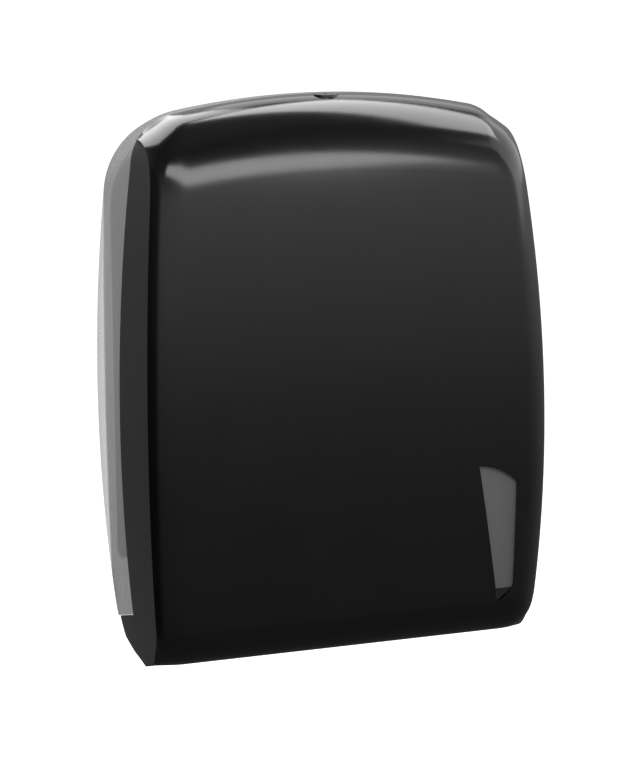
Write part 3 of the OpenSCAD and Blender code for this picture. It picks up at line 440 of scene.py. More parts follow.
def toe_ring(inset):
    """Loop that leads on to the front's edge, with its foot and lower corners still level."""
    s = shells()
    way = (s.toe_p - s.strip_p) / (s.belly_front_p - s.strip_p)
    foot = depth_loop(s.strip_p, s.toe_rise, inset)
    ring = [a.lerp(b, way) for a, b in zip(strip_ring(inset, s.strip_p), front_loop(inset))]
    for i, q in enumerate(ring):
        if min(i, len(ring) - i) <= COLUMN_END + CORNER_STEPS:
            q.z = foot[i].z
    return ring


def between(a, b):
    """Rings from a up to, but without, b."""
    return [[p.lerp(q, k / WALL_STEPS) for p, q in zip(a, b)] for k in range(WALL_STEPS)]


def hip_rings(inset):
    """Rings from the rear edge up to the belly."""
    s = shells()
    shares = [k / WALL_STEPS for k in range(WALL_STEPS + 1)]
    return [depth_loop(mix(s.rear_gap, s.belly_p, t), mix(s.rear_low, 0.0, t), inset) for t in shares]


def fore_rings(inset, ring):
    """Rings from one on the side wall over the toe up to the front's edge."""
    toe = toe_ring(inset)
    edge = front_loop(inset)
    return between(ring, toe) + between(toe, edge) + [edge]


def skin_rings(inset):
    """Rings over one face of the skin, from the rear edge to the front's."""
    s = shells()
    ring = strip_ring(inset, s.strip_p - s.shell_gap)
    return hip_rings(inset) + fore_rings(inset, ring)


def cover_rings(inset, p, front_inset, front_start):
    """Rings over one face of the inner cover, with its step between two depths to pass under the skin."""
    rear = hip_rings(inset) + [strip_ring(inset, p)]
    return rear + fore_rings(front_inset, strip_ring(front_inset, front_start))


# Modelling helpers

# Distances at which cutting tools end clear of the piece, the longer one for what cuts a tool, and where
# those tools start that come from behind the wall or from below
FAR, FARTHER, BEHIND = 0.6, 0.72, -0.01
# Distance within which vertices are merged, and the bend in degrees under which faces count as one
MERGE, FLAT = 1e-6, 0.5
# Steps of a rounded edge, and the bends in degrees past which edges are rounded and shaded sharp, on the
# shells and on CAD copies
ROUND_STEPS = 2
SHELL_ROUND, SHELL_SHARP, COPY_ROUND, COPY_SHARP = 50.0, 19.0, 40.0, 30.0


def deselect():
    bpy.ops.object.select_all(action="DESELECT")


def alone(obj):
    """Selects one object and nothing else."""
    deselect()
    obj.select_set(True)
    bpy.context.view_layer.objects.active = obj


def open_mesh(obj):
    """Goes into edit mode with the whole mesh selected."""
    alone(obj)
    bpy.ops.object.mode_set(mode="EDIT")
    bpy.ops.mesh.select_all(action="SELECT")


def close_mesh():
    bpy.ops.object.mode_set(mode="OBJECT")


def start(name):
    """The primitive just added, named."""
    obj = bpy.context.object
    obj.name = name
    obj.data.name = name
    return obj


def settle(obj):
    """Puts the object's place, turn and scale into its mesh."""
    alone(obj)
    bpy.ops.object.transform_apply(location=True, rotation=True, scale=True)
    return obj


def at(x, p, h):
    """From depth and height to the frame."""
    return Vector((x, -p, h - MOUNT_H))


def modify(obj, kind, **settings):
    """Adds a modifier, sets it and applies it."""
    alone(obj)
    m = obj.modifiers.new(kind.title(), kind)
    for key, value in settings.items():
        setattr(m, key, value)
    bpy.ops.object.modifier_apply(modifier=m.name)
    return obj


def carve(obj, tool, operation="DIFFERENCE"):
    """Cuts a piece with a tool, or joins the two, and removes the tool."""
    modify(obj, "BOOLEAN", operation=operation, solver="EXACT", object=tool)
    bpy.data.objects.remove(tool, do_unlink=True)
    return obj


def block(x0, x1, p0, p1, h0, h1):
    """Box between two places across, two depths and two heights."""
    deselect()
    middle = at((x0 + x1) / 2, (p0 + p1) / 2, (h0 + h1) / 2)
    bpy.ops.mesh.primitive_cube_add(size=1.0, location=middle, scale=(x1 - x0, p1 - p0, h1 - h0))
    return settle(start("block"))


def bar(r, low, high, sides):
    """Round bar between two points."""
    deselect()
    way = high - low
    turn = way.to_track_quat("Z", "Y").to_euler()
    bpy.ops.mesh.primitive_cylinder_add(vertices=sides, radius=r, depth=way.length,
                                        location=(low + high) / 2, rotation=turn)
    return settle(start("bar"))


def prism(points, way):
    """Flat outline pulled along a way."""
    deselect()
    bpy.ops.mesh.primitive_circle_add(vertices=len(points), fill_type="NGON")
    obj = start("prism")
    for v, p in zip(obj.data.vertices, points):
        v.co = p
    open_mesh(obj)
    bpy.ops.mesh.extrude_region_move(TRANSFORM_OT_translate={"value": way})
    bpy.ops.mesh.select_all(action="SELECT")
    bpy.ops.mesh.normals_make_consistent(inside=False)
    close_mesh()
    return obj


def side_prism(points, x0, x1):
    """Outline of depth and height, pulled across."""
    return prism([at(x0, p, h) for p, h in points], (x1 - x0, 0, 0))


def front_prism(points, p0, p1):
    """Outline of x and height, pulled forward."""
    return prism([at(x, p0, h) for x, h in points], (0, -(p1 - p0), 0))


def front_sheet(name, inset):
    """Grid bent to the shape of the front."""
    deselect()
    bpy.ops.mesh.primitive_grid_add(x_subdivisions=2 * COLUMN_END, y_subdivisions=ROW_END, size=2.0)
    obj = start(name)
    grid = [front_row(v, inset) for v in ROWS]
    for v in obj.data.vertices:
        row, column = round((v.co.y + 1) / 2 * ROW_END), round((v.co.x + 1) * COLUMN_END)
        v.co = at(*grid[row][column])
    return obj


def rim_of(mesh, ring):
    """Vertices on the open edge, in the order of a ring's points."""
    rim = [v for v in mesh.verts if v.is_boundary]
    tree = KDTree(len(rim))
    for i, v in enumerate(rim):
        tree.insert(v.co, i)
    tree.balance()
    return [rim[tree.find(at(*q))[1]] for q in ring]


def draw_out(obj, rim, ring):
    """Extrudes the open edge on to a ring, and gives the numbers of the new edge's vertices."""
    bpy.ops.mesh.select_all(action="DESELECT")
    mesh = bmesh.from_edit_mesh(obj.data)
    for e in mesh.edges:
        if e.is_boundary:
            e.select = True
    mesh.select_flush_mode()
    bmesh.update_edit_mesh(obj.data)
    bpy.ops.mesh.extrude_edges_move(TRANSFORM_OT_translate={"value": (0, 0, 0)})
    mesh = bmesh.from_edit_mesh(obj.data)
    mesh.verts.ensure_lookup_table()
    drawn = [next(e.other_vert(mesh.verts[i]) for e in mesh.verts[i].link_edges
                  if e.other_vert(mesh.verts[i]).select) for i in rim]
    for v, q in zip(drawn, ring):
        v.co = at(*q)
    mesh.verts.index_update()
    return [v.index for v in drawn]


def moulded(name, inner, outer, inner_inset, outer_inset):
    """Closed wall drawn out of a sheet ring by ring: inside to the rear edge, and back outside."""
    chain = list(reversed(inner)) + outer
    obj = front_sheet(name, inner_inset)
    open_mesh(obj)
    bpy.context.tool_settings.mesh_select_mode = (True, False, False)
    mesh = bmesh.from_edit_mesh(obj.data)
    rim = [v.index for v in rim_of(mesh, chain[0])]
    for ring in chain[1:]:
        rim = draw_out(obj, rim, ring)
    close_mesh()
    face = front_sheet("face", outer_inset)
    alone(obj)
    face.select_set(True)
    bpy.ops.object.join()
    open_mesh(obj)
    bpy.ops.mesh.remove_doubles(threshold=MERGE)
    bpy.ops.mesh.normals_make_consistent(inside=False)
    close_mesh()
    return obj


def round_edges(obj, width, limit, **settings):
    """Rounds the edges that bend by more than a limit."""
    return modify(obj, "BEVEL", width=width, segments=ROUND_STEPS, limit_method="ANGLE",
                  angle_limit=math.radians(limit), use_clamp_overlap=True, **settings)


def smooth(obj, limit):
    """Shades smooth what bends by less than a limit."""
    alone(obj)
    bpy.ops.object.shade_smooth_by_angle(angle=math.radians(limit))
    return obj


def soften(obj, width):
    """Rounds a shell's sharp edges a little and shades the rest smooth."""
    round_edges(obj, width, SHELL_ROUND, miter_outer="MITER_ARC")
    return smooth(obj, SHELL_SHARP)


def finish_piece(obj, node, body, slot):
    """Names a piece after its node, gives it its finish and lets it ride on its body for the node."""
    name = node + "_body"
    obj.name = name
    obj.data.name = name
    obj.data.materials.clear()
    obj.data.materials.append(finish_of(slot))
    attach(obj, body)
    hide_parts(node)
    return obj


def rounded_copy(node, body, slot, width):
    """A merged copy of a CAD node with its edges rounded."""
    obj = bpy.data.objects.new(node + "_body", NODES[node].data.copy())
    bpy.context.collection.objects.link(obj)
    obj.matrix_world = Matrix.Identity(4)
    open_mesh(obj)
    bpy.ops.mesh.remove_doubles(threshold=MERGE)
    bpy.ops.mesh.dissolve_limited(angle_limit=math.radians(FLAT))
    close_mesh()
    round_edges(obj, width, COPY_ROUND)
    smooth(obj, COPY_SHARP)
    modify(obj, "WEIGHTED_NORMAL", keep_sharp=True)
    return finish_piece(obj, node, body, slot)


# Finishes

# Index of refraction of the glossy plastics
PLASTIC_IOR = 1.5
# Noise values between which a tone goes from its darker to its lighter end
TONE_ENDS = (0.3, 0.7)
# Widths over which the strip's tone turns into the front's, and over which the rear rim clears
STRIP_BLEND, RIM_BLEND = 0.004, 0.0006


def add_node(tree, kind, **values):
    """A shader node with values on its sockets, from_min for From Min."""
    n = tree.nodes.new("ShaderNode" + kind)
    for key, value in values.items():
        n.inputs[key.replace("_", " ").title()].default_value = value
    return n


def new_finish(name):
    """A material with its Principled shader and Object coordinates."""
    m = bpy.data.materials.get(name) or bpy.data.materials.new(name)
    m.use_nodes = True
    tree = m.node_tree
    tree.nodes.clear()
    out = add_node(tree, "OutputMaterial")
    shader = add_node(tree, "BsdfPrincipled")
    place = add_node(tree, "TexCoord")
    tree.links.new(shader.outputs["BSDF"], out.inputs["Surface"])
    return m, tree, shader, place.outputs["Object"]


def noise(tree, place, scale, detail=3.0, rough=0.5, stretch=None):
    """Noise on the piece's own coordinates, per metre."""
    if stretch:
        mapping = add_node(tree, "Mapping", scale=stretch)
        tree.links.new(place, mapping.inputs["Vector"])
        place = mapping.outputs["Vector"]
    n = add_node(tree, "TexNoise", scale=scale, detail=detail, roughness=rough)
    tree.links.new(place, n.inputs["Vector"])
    return n.outputs["Fac"]


def ramp(tree, value, stops):
    """Colour ramp over a value."""
    r = add_node(tree, "ValToRGB")
    elements = r.color_ramp.elements
    while len(elements) < len(stops):
        elements.new(0.5)
    for e, (position, c) in zip(elements, stops):
        e.position = position
        e.color = (*c, 1.0)
    tree.links.new(value, r.inputs["Fac"])
    return r.outputs["Color"]


def span(tree, value, low, high, start_at=0.0, end_at=1.0):
    """Value from one range onto another."""
    m = add_node(tree, "MapRange", from_min=start_at, from_max=end_at, to_min=low, to_max=high)
    tree.links.new(value, m.inputs["Value"])
    return m.outputs["Result"]


def clouded(tree, value, c, spread):
    """A colour that a noise makes darker and lighter by a share."""
    ends = zip(TONE_ENDS, (1 - spread, 1 + spread))
    return ramp(tree, value, [(t, tuple(v * k for v in c)) for t, k in ends])


def paint(tree, shader, value, c, spread):
    """Gives a shader a clouded colour."""
    tree.links.new(clouded(tree, value, c, spread), shader.inputs["Base Color"])


def roughen(tree, shader, value, low, high):
    """Gives a shader a roughness that follows a noise."""
    tree.links.new(span(tree, value, low, high), shader.inputs["Roughness"])


def bump(tree, shader, value, strength, distance=0.0002):
    """Gives a shader a fine relief."""
    b = add_node(tree, "Bump", strength=strength, distance=distance)
    tree.links.new(value, b.inputs["Height"])
    tree.links.new(b.outputs["Normal"], shader.inputs["Normal"])


def black_moulding():
    """Satin black plastic with the fine grain of its mould and faint handling marks."""
    f = looks()
    rough, give = f.skin_roughness, 0.03
    m, tree, shader, place = new_finish("black_moulding")
    paint(tree, shader, noise(tree, place, scale=22.0), f.skin_colour, spread=0.18)
    marks = noise(tree, place, scale=40.0, detail=5.0, rough=0.6, stretch=(1.0, 1.0, 0.35))
    roughen(tree, shader, marks, rough - give, rough + give)
    bump(tree, shader, noise(tree, place, scale=1400.0, detail=2.0), strength=0.02)
    shader.inputs["IOR"].default_value = PLASTIC_IOR
    return m


def smoke_moulding():
    """Translucent smoke plastic with flow clouding: strips with a clear rear rim, painted lighter as
    painted light, and the front behind the skin painted darker as painted shade.
    """
    f = looks()
    m, tree, shader, place = new_finish("smoke_moulding")
    split = add_node(tree, "SeparateXYZ")
    tree.links.new(place, split.inputs["Vector"])

    cloud = noise(tree, place, scale=14.0, stretch=(1.0, 1.0, 0.5))
    edge = -shells().strip_p
    # Tone by depth: the strips are painted lighter as painted light, and the front behind the skin is
    # painted darker as painted shade
    painted_tone_by_depth = add_node(tree, "Mix")
    painted_tone_by_depth.data_type = "RGBA"
    strip = span(tree, split.outputs["Y"], 0.0, 1.0, edge - STRIP_BLEND, edge)
    tree.links.new(strip, painted_tone_by_depth.inputs["Factor"])
    tree.links.new(clouded(tree, cloud, f.smoke_colour, spread=0.05), painted_tone_by_depth.inputs["A"])
    tree.links.new(clouded(tree, cloud, f.strip_colour, spread=0.05), painted_tone_by_depth.inputs["B"])
    tree.links.new(painted_tone_by_depth.outputs["Result"], shader.inputs["Base Color"])

    out = add_node(tree, "Math")
    out.operation = "ABSOLUTE"
    tree.links.new(split.outputs["X"], out.inputs[0])
    rim = add_node(tree, "Math")
    rim.operation = "MULTIPLY_ADD"
    rim.inputs[1].default_value = f.rim_slope
    tree.links.new(split.outputs["Y"], rim.inputs[0])
    tree.links.new(out.outputs["Value"], rim.inputs[2])
    hiding = span(tree, rim.outputs["Value"], f.smoke_density, f.rim_density, f.rim_x, f.rim_x + RIM_BLEND)
    tree.links.new(hiding, shader.inputs["Alpha"])

    roughen(tree, shader, noise(tree, place, scale=60.0), low=0.14, high=0.22)
    bump(tree, shader, noise(tree, place, scale=900.0, detail=2.0), strength=0.01)
    shader.inputs["IOR"].default_value = PLASTIC_IOR
    return m


def grained(name, c, rough, give=0.06):
    """Matt moulded plastic with a spark-eroded grain."""
    m, tree, shader, place = new_finish(name)
    paint(tree, shader, noise(tree, place, scale=30.0, detail=4.0), c, spread=0.03)
    roughen(tree, shader, noise(tree, place, scale=120.0), rough - give, rough + give)
    bump(tree, shader, noise(tree, place, scale=1600.0, detail=2.0), strength=0.10)
    return m


def grey_moulding():
    return grained("grey_moulding", looks().plate_colour, rough=0.45)


def guide_moulding():
    return grained("guide_moulding", looks().guide_colour, rough=0.45)


def dark_moulding():
    return grained("dark_moulding", looks().shelf_colour, rough=0.42)


def plated(name, c, low, high, stretch):
    """Plated metal with fine drawn lines, and its least and greatest roughness."""
    m, tree, shader, place = new_finish(name)
    lines = noise(tree, place, scale=900.0, rough=0.6, stretch=stretch)
    paint(tree, shader, lines, c, spread=0.10)
    roughen(tree, shader, lines, low, high)
    bump(tree, shader, lines, strength=0.05, distance=0.0001)
    shader.inputs["Metallic"].default_value = 1.0
    return m


def nickel_plate():
    return plated("nickel_plate", looks().nickel_colour, low=0.12, high=0.24, stretch=(1.0, 1.0, 0.2))


def zinc_plate():
    return plated("zinc_plate", looks().steel_colour, low=0.26, high=0.42, stretch=(0.3, 1.0, 1.0))


# Finishes by the record's slots, each called what its function is called
FINISHES = {"black_plastic": black_moulding, "smoke_plastic": smoke_moulding, "grey_plastic": grey_moulding,
            "dark_plastic": dark_moulding, "bright_metal": nickel_plate, "steel": zinc_plate}


def finish_of(slot):
    """The finish that stands for a slot of the record, made once."""
    maker = FINISHES[slot]
    return bpy.data.materials.get(maker.__name__) or maker()


# Pieces

# Sides of round tools: at the heel, at the lock, at the hinge pins and at the screws
HEEL_SIDES, LOCK_SIDES, PIN_SIDES, SCREW_SIDES = 160, 64, 48, 32
# Room beside the hinge lugs
LUG_ROOM = 0.001
# Steps of the window's curved top, and how far its outer edge leans in at the foot
WINDOW_STEPS, WINDOW_LEAN = 8, 0.001
# Thickness of the lock's flange, radius of the pad that its washer bears on, the pad's reach into the wall
# above it, and the height that the tools for the lock's hole start from
FLANGE_T, PAD_R, PAD_REACH, LOCK_FROM = 0.0016, 0.011, 0.0001, 0.2
# Radii of the skin's screw bosses and of the holes for them in the inner cover
BOSS_R, BOSS_HOLE_R = 0.0025, 0.00275
# Heights over the hinge of the ears' upper ends and of the webs' lower edges, and the upper ends' reach
# before and behind the hinge
EAR_RISE, WEB_RISE, EAR_FORE, EAR_AFT = 0.046, 0.016, 0.013, 0.017
# How far the tools for the pins' holes stand out of the ears
PIN_PAST = 0.001
# Rounding of metal pieces and screws as shares of the plastic's, and of the plug as a share of the metal's
METAL_SHARE, SCREW_SHARE, PLUG_SHARE = 0.6, 0.5, 0.7


def strip_line(p):
    """Height of the strip's lower end at a depth."""
    s = shells()
    return s.strip_low + p * s.strip_slope


def lock_bar(r, low, high):
    """Bar on the lock's axis between two heights."""
    p = cuts().lock_p
    return bar(r, at(0, p, low), at(0, p, high), LOCK_SIDES)


def screw_bar(r, x, h, p0, p1):
    """Bar on a skin screw's axis between two depths."""
    return bar(r, at(x, p0, h), at(x, p1, h), SCREW_SIDES)


def hinge_bar(r, x0, x1, sides):
    """Bar on the hinge axis between two places across."""
    c = cuts()
    return bar(r, at(x0, c.hinge_p, c.hinge_h), at(x1, c.hinge_p, c.hinge_h), sides)


def trim_swing(obj, r):
    """Cuts away what would meet the wall behind and below the hinge."""
    c = cuts()
    tool = block(-FAR, FAR, BEHIND, c.hinge_p, -FAR, c.hinge_h)
    carve(tool, hinge_bar(r, -FARTHER, FARTHER, HEEL_SIDES))
    return carve(obj, tool)


def window_points():
    """Outline of the window, [x, height], from its inner edge over the foot to the curved top."""
    c = cuts()
    inner = c.window_x - c.window_foot_w
    slant_h = c.window_low + c.window_slant
    points = [(inner, slant_h), (inner, c.window_low + c.window_cut), (inner + c.window_cut, c.window_low),
              (c.window_x - WINDOW_LEAN, slant_h), (c.window_x, slant_h + c.window_cut)]
    for k in range(WINDOW_STEPS + 1):
        t = k / WINDOW_STEPS
        points.append((c.window_x - c.window_top_w * t, c.window_high - c.window_fall * (1 - t) ** 2))
    return points


def skin_screw_points():
    """Places of the screws between skin and inner cover, [x, height], from the CAD screws."""
    vertices = [v.co.copy() for v in NODES["skin_screws"].data.vertices]
    low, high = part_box("skin_screws")
    mid = (low.z + high.z) / 2
    points = []
    for upper in (True, False):
        for right in (True, False):
            screw = [q for q in vertices if (q.z > mid) == upper and (q.x > 0) == right]
            x, _, z = [(min(values) + max(values)) / 2 for values in zip(*screw)]
            points.append((x, z + MOUNT_H))
    return points


class DISPENSER_OT_front_skin(bpy.types.Operator):
    """Moulds the black outer skin, with its window, outlet lip and screw bosses"""
    bl_idname = "dispenser.front_skin"
    bl_label = "Front skin"

    def execute(self, context):
        s, c = shells(), cuts()
        skin = moulded("front_skin_body", skin_rings(s.skin_t), skin_rings(0.0), s.skin_t, 0.0)
        strips = [(-FAR, strip_line(-FAR)), (s.strip_p, strip_line(s.strip_p)), (s.strip_p, FAR),
                  (-FAR, FAR)]
        carve(skin, side_prism(strips, -FAR, FAR))
        half, lug = c.outlet_w / 2, c.lug_out + LUG_ROOM
        carve(skin, block(-half, half, BEHIND, c.outlet_front_p, BEHIND, s.smoke_low))
        carve(skin, block(-lug, lug, BEHIND, c.hinge_p, BEHIND, s.smoke_low))
        carve(skin, front_prism(window_points(), s.belly_front_p, FAR))
        trim_swing(skin, c.heel_r)
        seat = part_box("lock_housing")[1].z - FLANGE_T + MOUNT_H
        carve(skin, lock_bar(c.lock_hole_r, LOCK_FROM, FAR))
        carve(skin, lock_bar(c.lock_seat_r, seat, FAR))
        stack = s.skin_t + s.shell_gap + s.smoke_t
        for x, h in skin_screw_points():
            boss = screw_bar(BOSS_R, x, h, front_p(h) - stack, front_p(h) - s.skin_t / 2)
            carve(skin, boss, "UNION")
        soften(skin, s.edge_round)
        finish_piece(skin, "front_skin", "cover", "black_plastic")
        return {"FINISHED"}


class DISPENSER_OT_smoke_cover(bpy.types.Operator):
    """Moulds the translucent inner cover, with its side strips, step under the skin, ears and webs"""
    bl_idname = "dispenser.smoke_cover"
    bl_label = "Smoke cover"

    def execute(self, context):
        s, c = shells(), cuts()
        gap = s.shell_gap
        step = s.skin_t + gap
        stack = step + s.smoke_t
        edge = s.strip_p - gap
        outer = cover_rings(0.0, edge, step, edge)
        inner = cover_rings(s.smoke_t, edge - STEP_BACK[0], stack, edge - STEP_BACK[1])
        cover = moulded("smoke_cover_body", inner, outer, stack, step)
        under = [(-FAR, strip_line(-FAR) + gap), (edge, strip_line(s.strip_p) + gap),
                 (s.strip_p, s.smoke_low), (FAR, s.smoke_low), (FAR, -FAR), (-FAR, -FAR)]
        carve(cover, side_prism(under, -FAR, FAR))
        self.add_ears(cover)
        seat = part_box("lock_washer")[1].z + MOUNT_H
        carve(cover, lock_bar(PAD_R, seat, s.body_h - stack + PAD_REACH), "UNION")
        carve(cover, lock_bar(c.lock_hole_r, LOCK_FROM, FAR))
        trim_swing(cover, c.swing_r)
        for x, h in skin_screw_points():
            carve(cover, screw_bar(BOSS_HOLE_R, x, h, s.belly_front_p, FAR))
        soften(cover, s.edge_round)
        finish_piece(cover, "smoke_cover", "cover", "smoke_plastic")
        return {"FINISHED"}

    def add_ears(self, cover):
        """Joins on the hinge ears and the webs that carry them, and drills them for the pins."""
        s, c = shells(), cuts()
        top, low = c.hinge_h + EAR_RISE, c.hinge_h + WEB_RISE
        turns = [math.radians(a) for a in range(-90, 91, 10)]
        ear = [(c.hinge_p + c.eye_r * math.sin(a), c.hinge_h - c.eye_r * math.cos(a)) for a in turns]
        ear += [(c.hinge_p + EAR_FORE, top), (c.hinge_p - EAR_AFT, top)]
        web = [(c.ear_in, top), (c.ear_in, low)]
        web += [(side_half(c.hinge_p, h) - s.smoke_t / 2, h) for h in (low, top)]
        for side in (1, -1):
            carve(cover, side_prism(ear, side * c.ear_in, side * c.ear_out), "UNION")
            outline = [(side * x, h) for x, h in web]
            carve(cover, front_prism(outline, c.hinge_p - c.eye_r, c.hinge_p + c.eye_r), "UNION")
            ends = side * (c.ear_in - PIN_PAST), side * (c.ear_out + PIN_PAST)
            carve(cover, hinge_bar(c.pin_r, *ends, PIN_SIDES))


class DISPENSER_OT_inside(bpy.types.Operator):
    """Finishes the wall plate, shelf, guides and hinge hardware"""
    bl_idname = "dispenser.inside"
    bl_label = "Inside"

    def execute(self, context):
        width = looks().bevel
        rounded_copy("wall_plate", "wall", "grey_plastic", width)
        guide_finish = guide_moulding()
        for node in ("guide_left", "guide_right"):
            guide = rounded_copy(node, "wall", "grey_plastic", width)
            guide.data.materials[0] = guide_finish
        rounded_copy("towel_shelf", "wall", "dark_plastic", width)
        for node in ("strike_plate", "hinge_pin_left", "hinge_pin_right", "hinge_clip_left",
                     "hinge_clip_right"):
            rounded_copy(node, "wall", "steel", width * METAL_SHARE)
        return {"FINISHED"}


class DISPENSER_OT_lock(bpy.types.Operator):
    """Finishes the lock: face, plug, nut, washer, stop and cam"""
    bl_idname = "dispenser.lock"
    bl_label = "Lock"

    def execute(self, context):
        width = looks().bevel * METAL_SHARE
        rounded_copy("lock_housing", "cover", "bright_metal", width)
        rounded_copy("lock_plug", "lock", "bright_metal", width * PLUG_SHARE)
        for node in ("lock_washer", "lock_nut"):
            rounded_copy(node, "cover", "steel", width)
        for node in ("lock_stop", "lock_cam", "cam_screw"):
            rounded_copy(node, "lock", "steel", width)
        return {"FINISHED"}


class DISPENSER_OT_screws(bpy.types.Operator):
    """Finishes the assembly screws"""
    bl_idname = "dispenser.screws"
    bl_label = "Screws"

    def execute(self, context):
        for node, body in (("shelf_screws", "wall"), ("guide_screws", "wall"), ("strike_screws", "wall"),
                           ("skin_screws", "cover")):
            rounded_copy(node, body, "steel", looks().bevel * SCREW_SHARE)
        return {"FINISHED"}


# Studio

# Point that the camera and the lights face
AIM = Vector((0, -0.0581, -0.0166))
# Camera's place, width of its sensor in millimetres and distance that it sees to
CAMERA_AT, SENSOR_W, SEES_TO = (-0.494, -1.578, 0.3746), 36.0, 200.0
FLOOR_SIZE = 120.0
# Brightness of the room by elevation in degrees, and its shares from the dark left to the light right and
# from the front to the back
ROOM_TONES = ((-90, 0.1), (-40, 0.12), (-26, 0.17), (-17, 0.2), (-7, 0.32), (3, 0.62), (14, 1.0), (22, 0.8),
              (42, 0.2), (60, 0.1), (90, 0.2))
ROOM_SIDES = ((-1.0, 0.12), (-0.88, 0.14), (-0.70, 0.85), (0.6, 1.0), (0.95, 1.6))
ROOM_DEPTHS = ((-0.2, 1.0), (0.6, 0.55))
# Softboxes: azimuth to the right of the front, elevation, width, height and turn in degrees, brightness
SOFTBOXES = (
    ("front_softbox", -7, 40.5, 62, 12, -28, 6.0),
    ("top_softbox", 116, 62, 56, 22, 0, 6.5),
    ("back_softbox", -166, 38, 36, 34, 0, 3.4),
    ("right_softbox", 85, 32, 66, 44, 0, 1.5),
    ("rear_softbox", 146, 34, 44, 20, 0, 1.0),
)
# Fill light for the smoke cover alone, so that the black roll beside it stays dark
STRIP_FILL = ("strip_softbox", -100, 20, 60, 60, 0, 2.2)


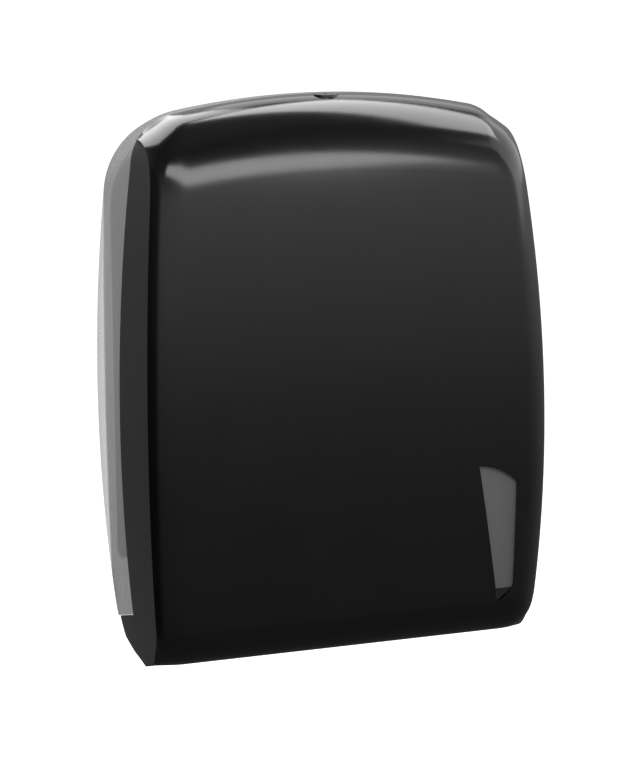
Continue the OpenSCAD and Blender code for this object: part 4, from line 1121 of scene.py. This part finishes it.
class DISPENSER_OT_studio(bpy.types.Operator):
    """Sets the pale floor, the soft light and the camera"""
    bl_idname = "dispenser.studio"
    bl_label = "Studio"

    def execute(self, context):
        st = context.scene.dispenser_studio
        self.floor(st)
        self.room(context, st)
        for box in SOFTBOXES:
            self.softbox(st, *box)
        lit = bpy.data.collections.new("strip_fill")
        lit.objects.link(bpy.data.objects["smoke_cover_body"])
        self.softbox(st, *STRIP_FILL).light_linking.receiver_collection = lit
        self.camera(context, st)
        return {"FINISHED"}

    def floor(self, st):
        deselect()
        bpy.ops.mesh.primitive_plane_add(size=FLOOR_SIZE, location=(0, 0, -st.floor_drop))
        floor = settle(start("floor"))
        m, tree, shader, place = new_finish("pale_floor")
        paint(tree, shader, noise(tree, place, scale=3.0), st.floor_colour, spread=0.015)
        roughen(tree, shader, noise(tree, place, scale=9.0), low=0.75, high=0.85)
        shader.inputs["Emission Color"].default_value = (1.0, 1.0, 1.0, 1.0)
        shader.inputs["Emission Strength"].default_value = st.floor_glow
        floor.data.materials.append(m)
        floor.visible_glossy = False
        floor.visible_diffuse = False

    def room(self, context, st):
        """Light all round whose brightness goes by height, side and depth."""
        world = bpy.data.worlds.new("soft_room")
        context.scene.world = world
        world.use_nodes = True
        tree = world.node_tree
        tree.nodes.clear()
        out = add_node(tree, "OutputWorld")
        back = add_node(tree, "Background")
        place = add_node(tree, "TexCoord")
        split = add_node(tree, "SeparateXYZ")
        tree.links.new(place.outputs["Generated"], split.inputs["Vector"])
        heights = [(math.sin(math.radians(e)), c) for e, c in ROOM_TONES]
        glow = None
        for axis, stops in (("Z", heights), ("X", ROOM_SIDES), ("Y", ROOM_DEPTHS)):
            value = span(tree, split.outputs[axis], 0.0, 1.0, start_at=-1.0, end_at=1.0)
            tone = ramp(tree, value, [((t + 1) / 2, (c, c, c)) for t, c in stops])
            glow = self.times(tree, glow, tone) if glow else tone
        tree.links.new(glow, back.inputs["Color"])
        back.inputs["Strength"].default_value = st.sky
        tree.links.new(back.outputs["Background"], out.inputs["Surface"])
        context.scene.view_settings.view_transform = "Standard"

    def times(self, tree, a, b):
        both = add_node(tree, "VectorMath")
        both.operation = "MULTIPLY"
        tree.links.new(a, both.inputs[0])
        tree.links.new(b, both.inputs[1])
        return both.outputs["Vector"]

    def softbox(self, st, name, azimuth, elevation, wide, high, turn, glow):
        """Soft light that faces the dispenser, sized by the angles that it spans."""
        data = bpy.data.lights.new(name, "AREA")
        data.shape = "RECTANGLE"
        data.size = 2 * st.lights_away * math.tan(math.radians(wide / 2))
        data.size_y = 2 * st.lights_away * math.tan(math.radians(high / 2))
        data.energy = st.lights * glow * math.pi * data.size * data.size_y
        lamp = bpy.data.objects.new(name, data)
        bpy.context.collection.objects.link(lamp)
        az, el = math.radians(azimuth), math.radians(elevation)
        way = Vector((math.sin(az) * math.cos(el), -math.cos(az) * math.cos(el), math.sin(el)))
        lamp.location = AIM + st.lights_away * way
        facing = (-way).to_track_quat("-Z", "Y") @ Quaternion((0, 0, 1), math.radians(turn))
        lamp.rotation_euler = facing.to_euler()
        lamp.visible_camera = False
        return lamp

    def camera(self, context, st):
        cam = bpy.data.objects.new("camera", bpy.data.cameras.new("camera"))
        context.collection.objects.link(cam)
        cam.data.lens = st.lens
        cam.data.sensor_width = SENSOR_W
        cam.data.clip_end = SEES_TO
        cam.location = CAMERA_AT
        cam.rotation_euler = (AIM - cam.location).to_track_quat("-Z", "Y").to_euler()
        context.scene.camera = cam


class DISPENSER_PT_panel(bpy.types.Panel):
    """Lists the pieces and their values"""
    bl_idname = "DISPENSER_PT_panel"
    bl_label = "Towel dispenser"
    bl_space_type = "VIEW_3D"
    bl_region_type = "UI"
    bl_category = "Towel dispenser"

    def draw(self, context):
        for cls in OPERATORS:
            self.layout.operator(cls.bl_idname)
        for group in GROUPS:
            box = self.layout.box()
            values = getattr(context.scene, group)
            for key in values.bl_rna.properties.keys():
                if key not in ("rna_type", "name"):
                    box.prop(values, key)


OPERATORS = (DISPENSER_OT_front_skin, DISPENSER_OT_smoke_cover, DISPENSER_OT_inside, DISPENSER_OT_lock,
             DISPENSER_OT_screws, DISPENSER_OT_studio)
GROUPS = {"dispenser_shells": ShellSizes, "dispenser_openings": OpeningSizes,
          "dispenser_finishes": Finishes, "dispenser_studio": Studio}


def register():
    for cls in (*GROUPS.values(), *OPERATORS, DISPENSER_PT_panel):
        bpy.utils.register_class(cls)
    for name, cls in GROUPS.items():
        setattr(bpy.types.Scene, name, PointerProperty(type=cls))


def unregister():
    for name in GROUPS:
        delattr(bpy.types.Scene, name)
    for cls in (DISPENSER_PT_panel, *reversed(OPERATORS), *GROUPS.values()):
        bpy.utils.unregister_class(cls)


def main():
    register()
    bpy.ops.dispenser.front_skin()
    bpy.ops.dispenser.smoke_cover()
    bpy.ops.dispenser.inside()
    bpy.ops.dispenser.lock()
    bpy.ops.dispenser.screws()
    bpy.ops.dispenser.studio()


if __name__ == "__main__":
    main()
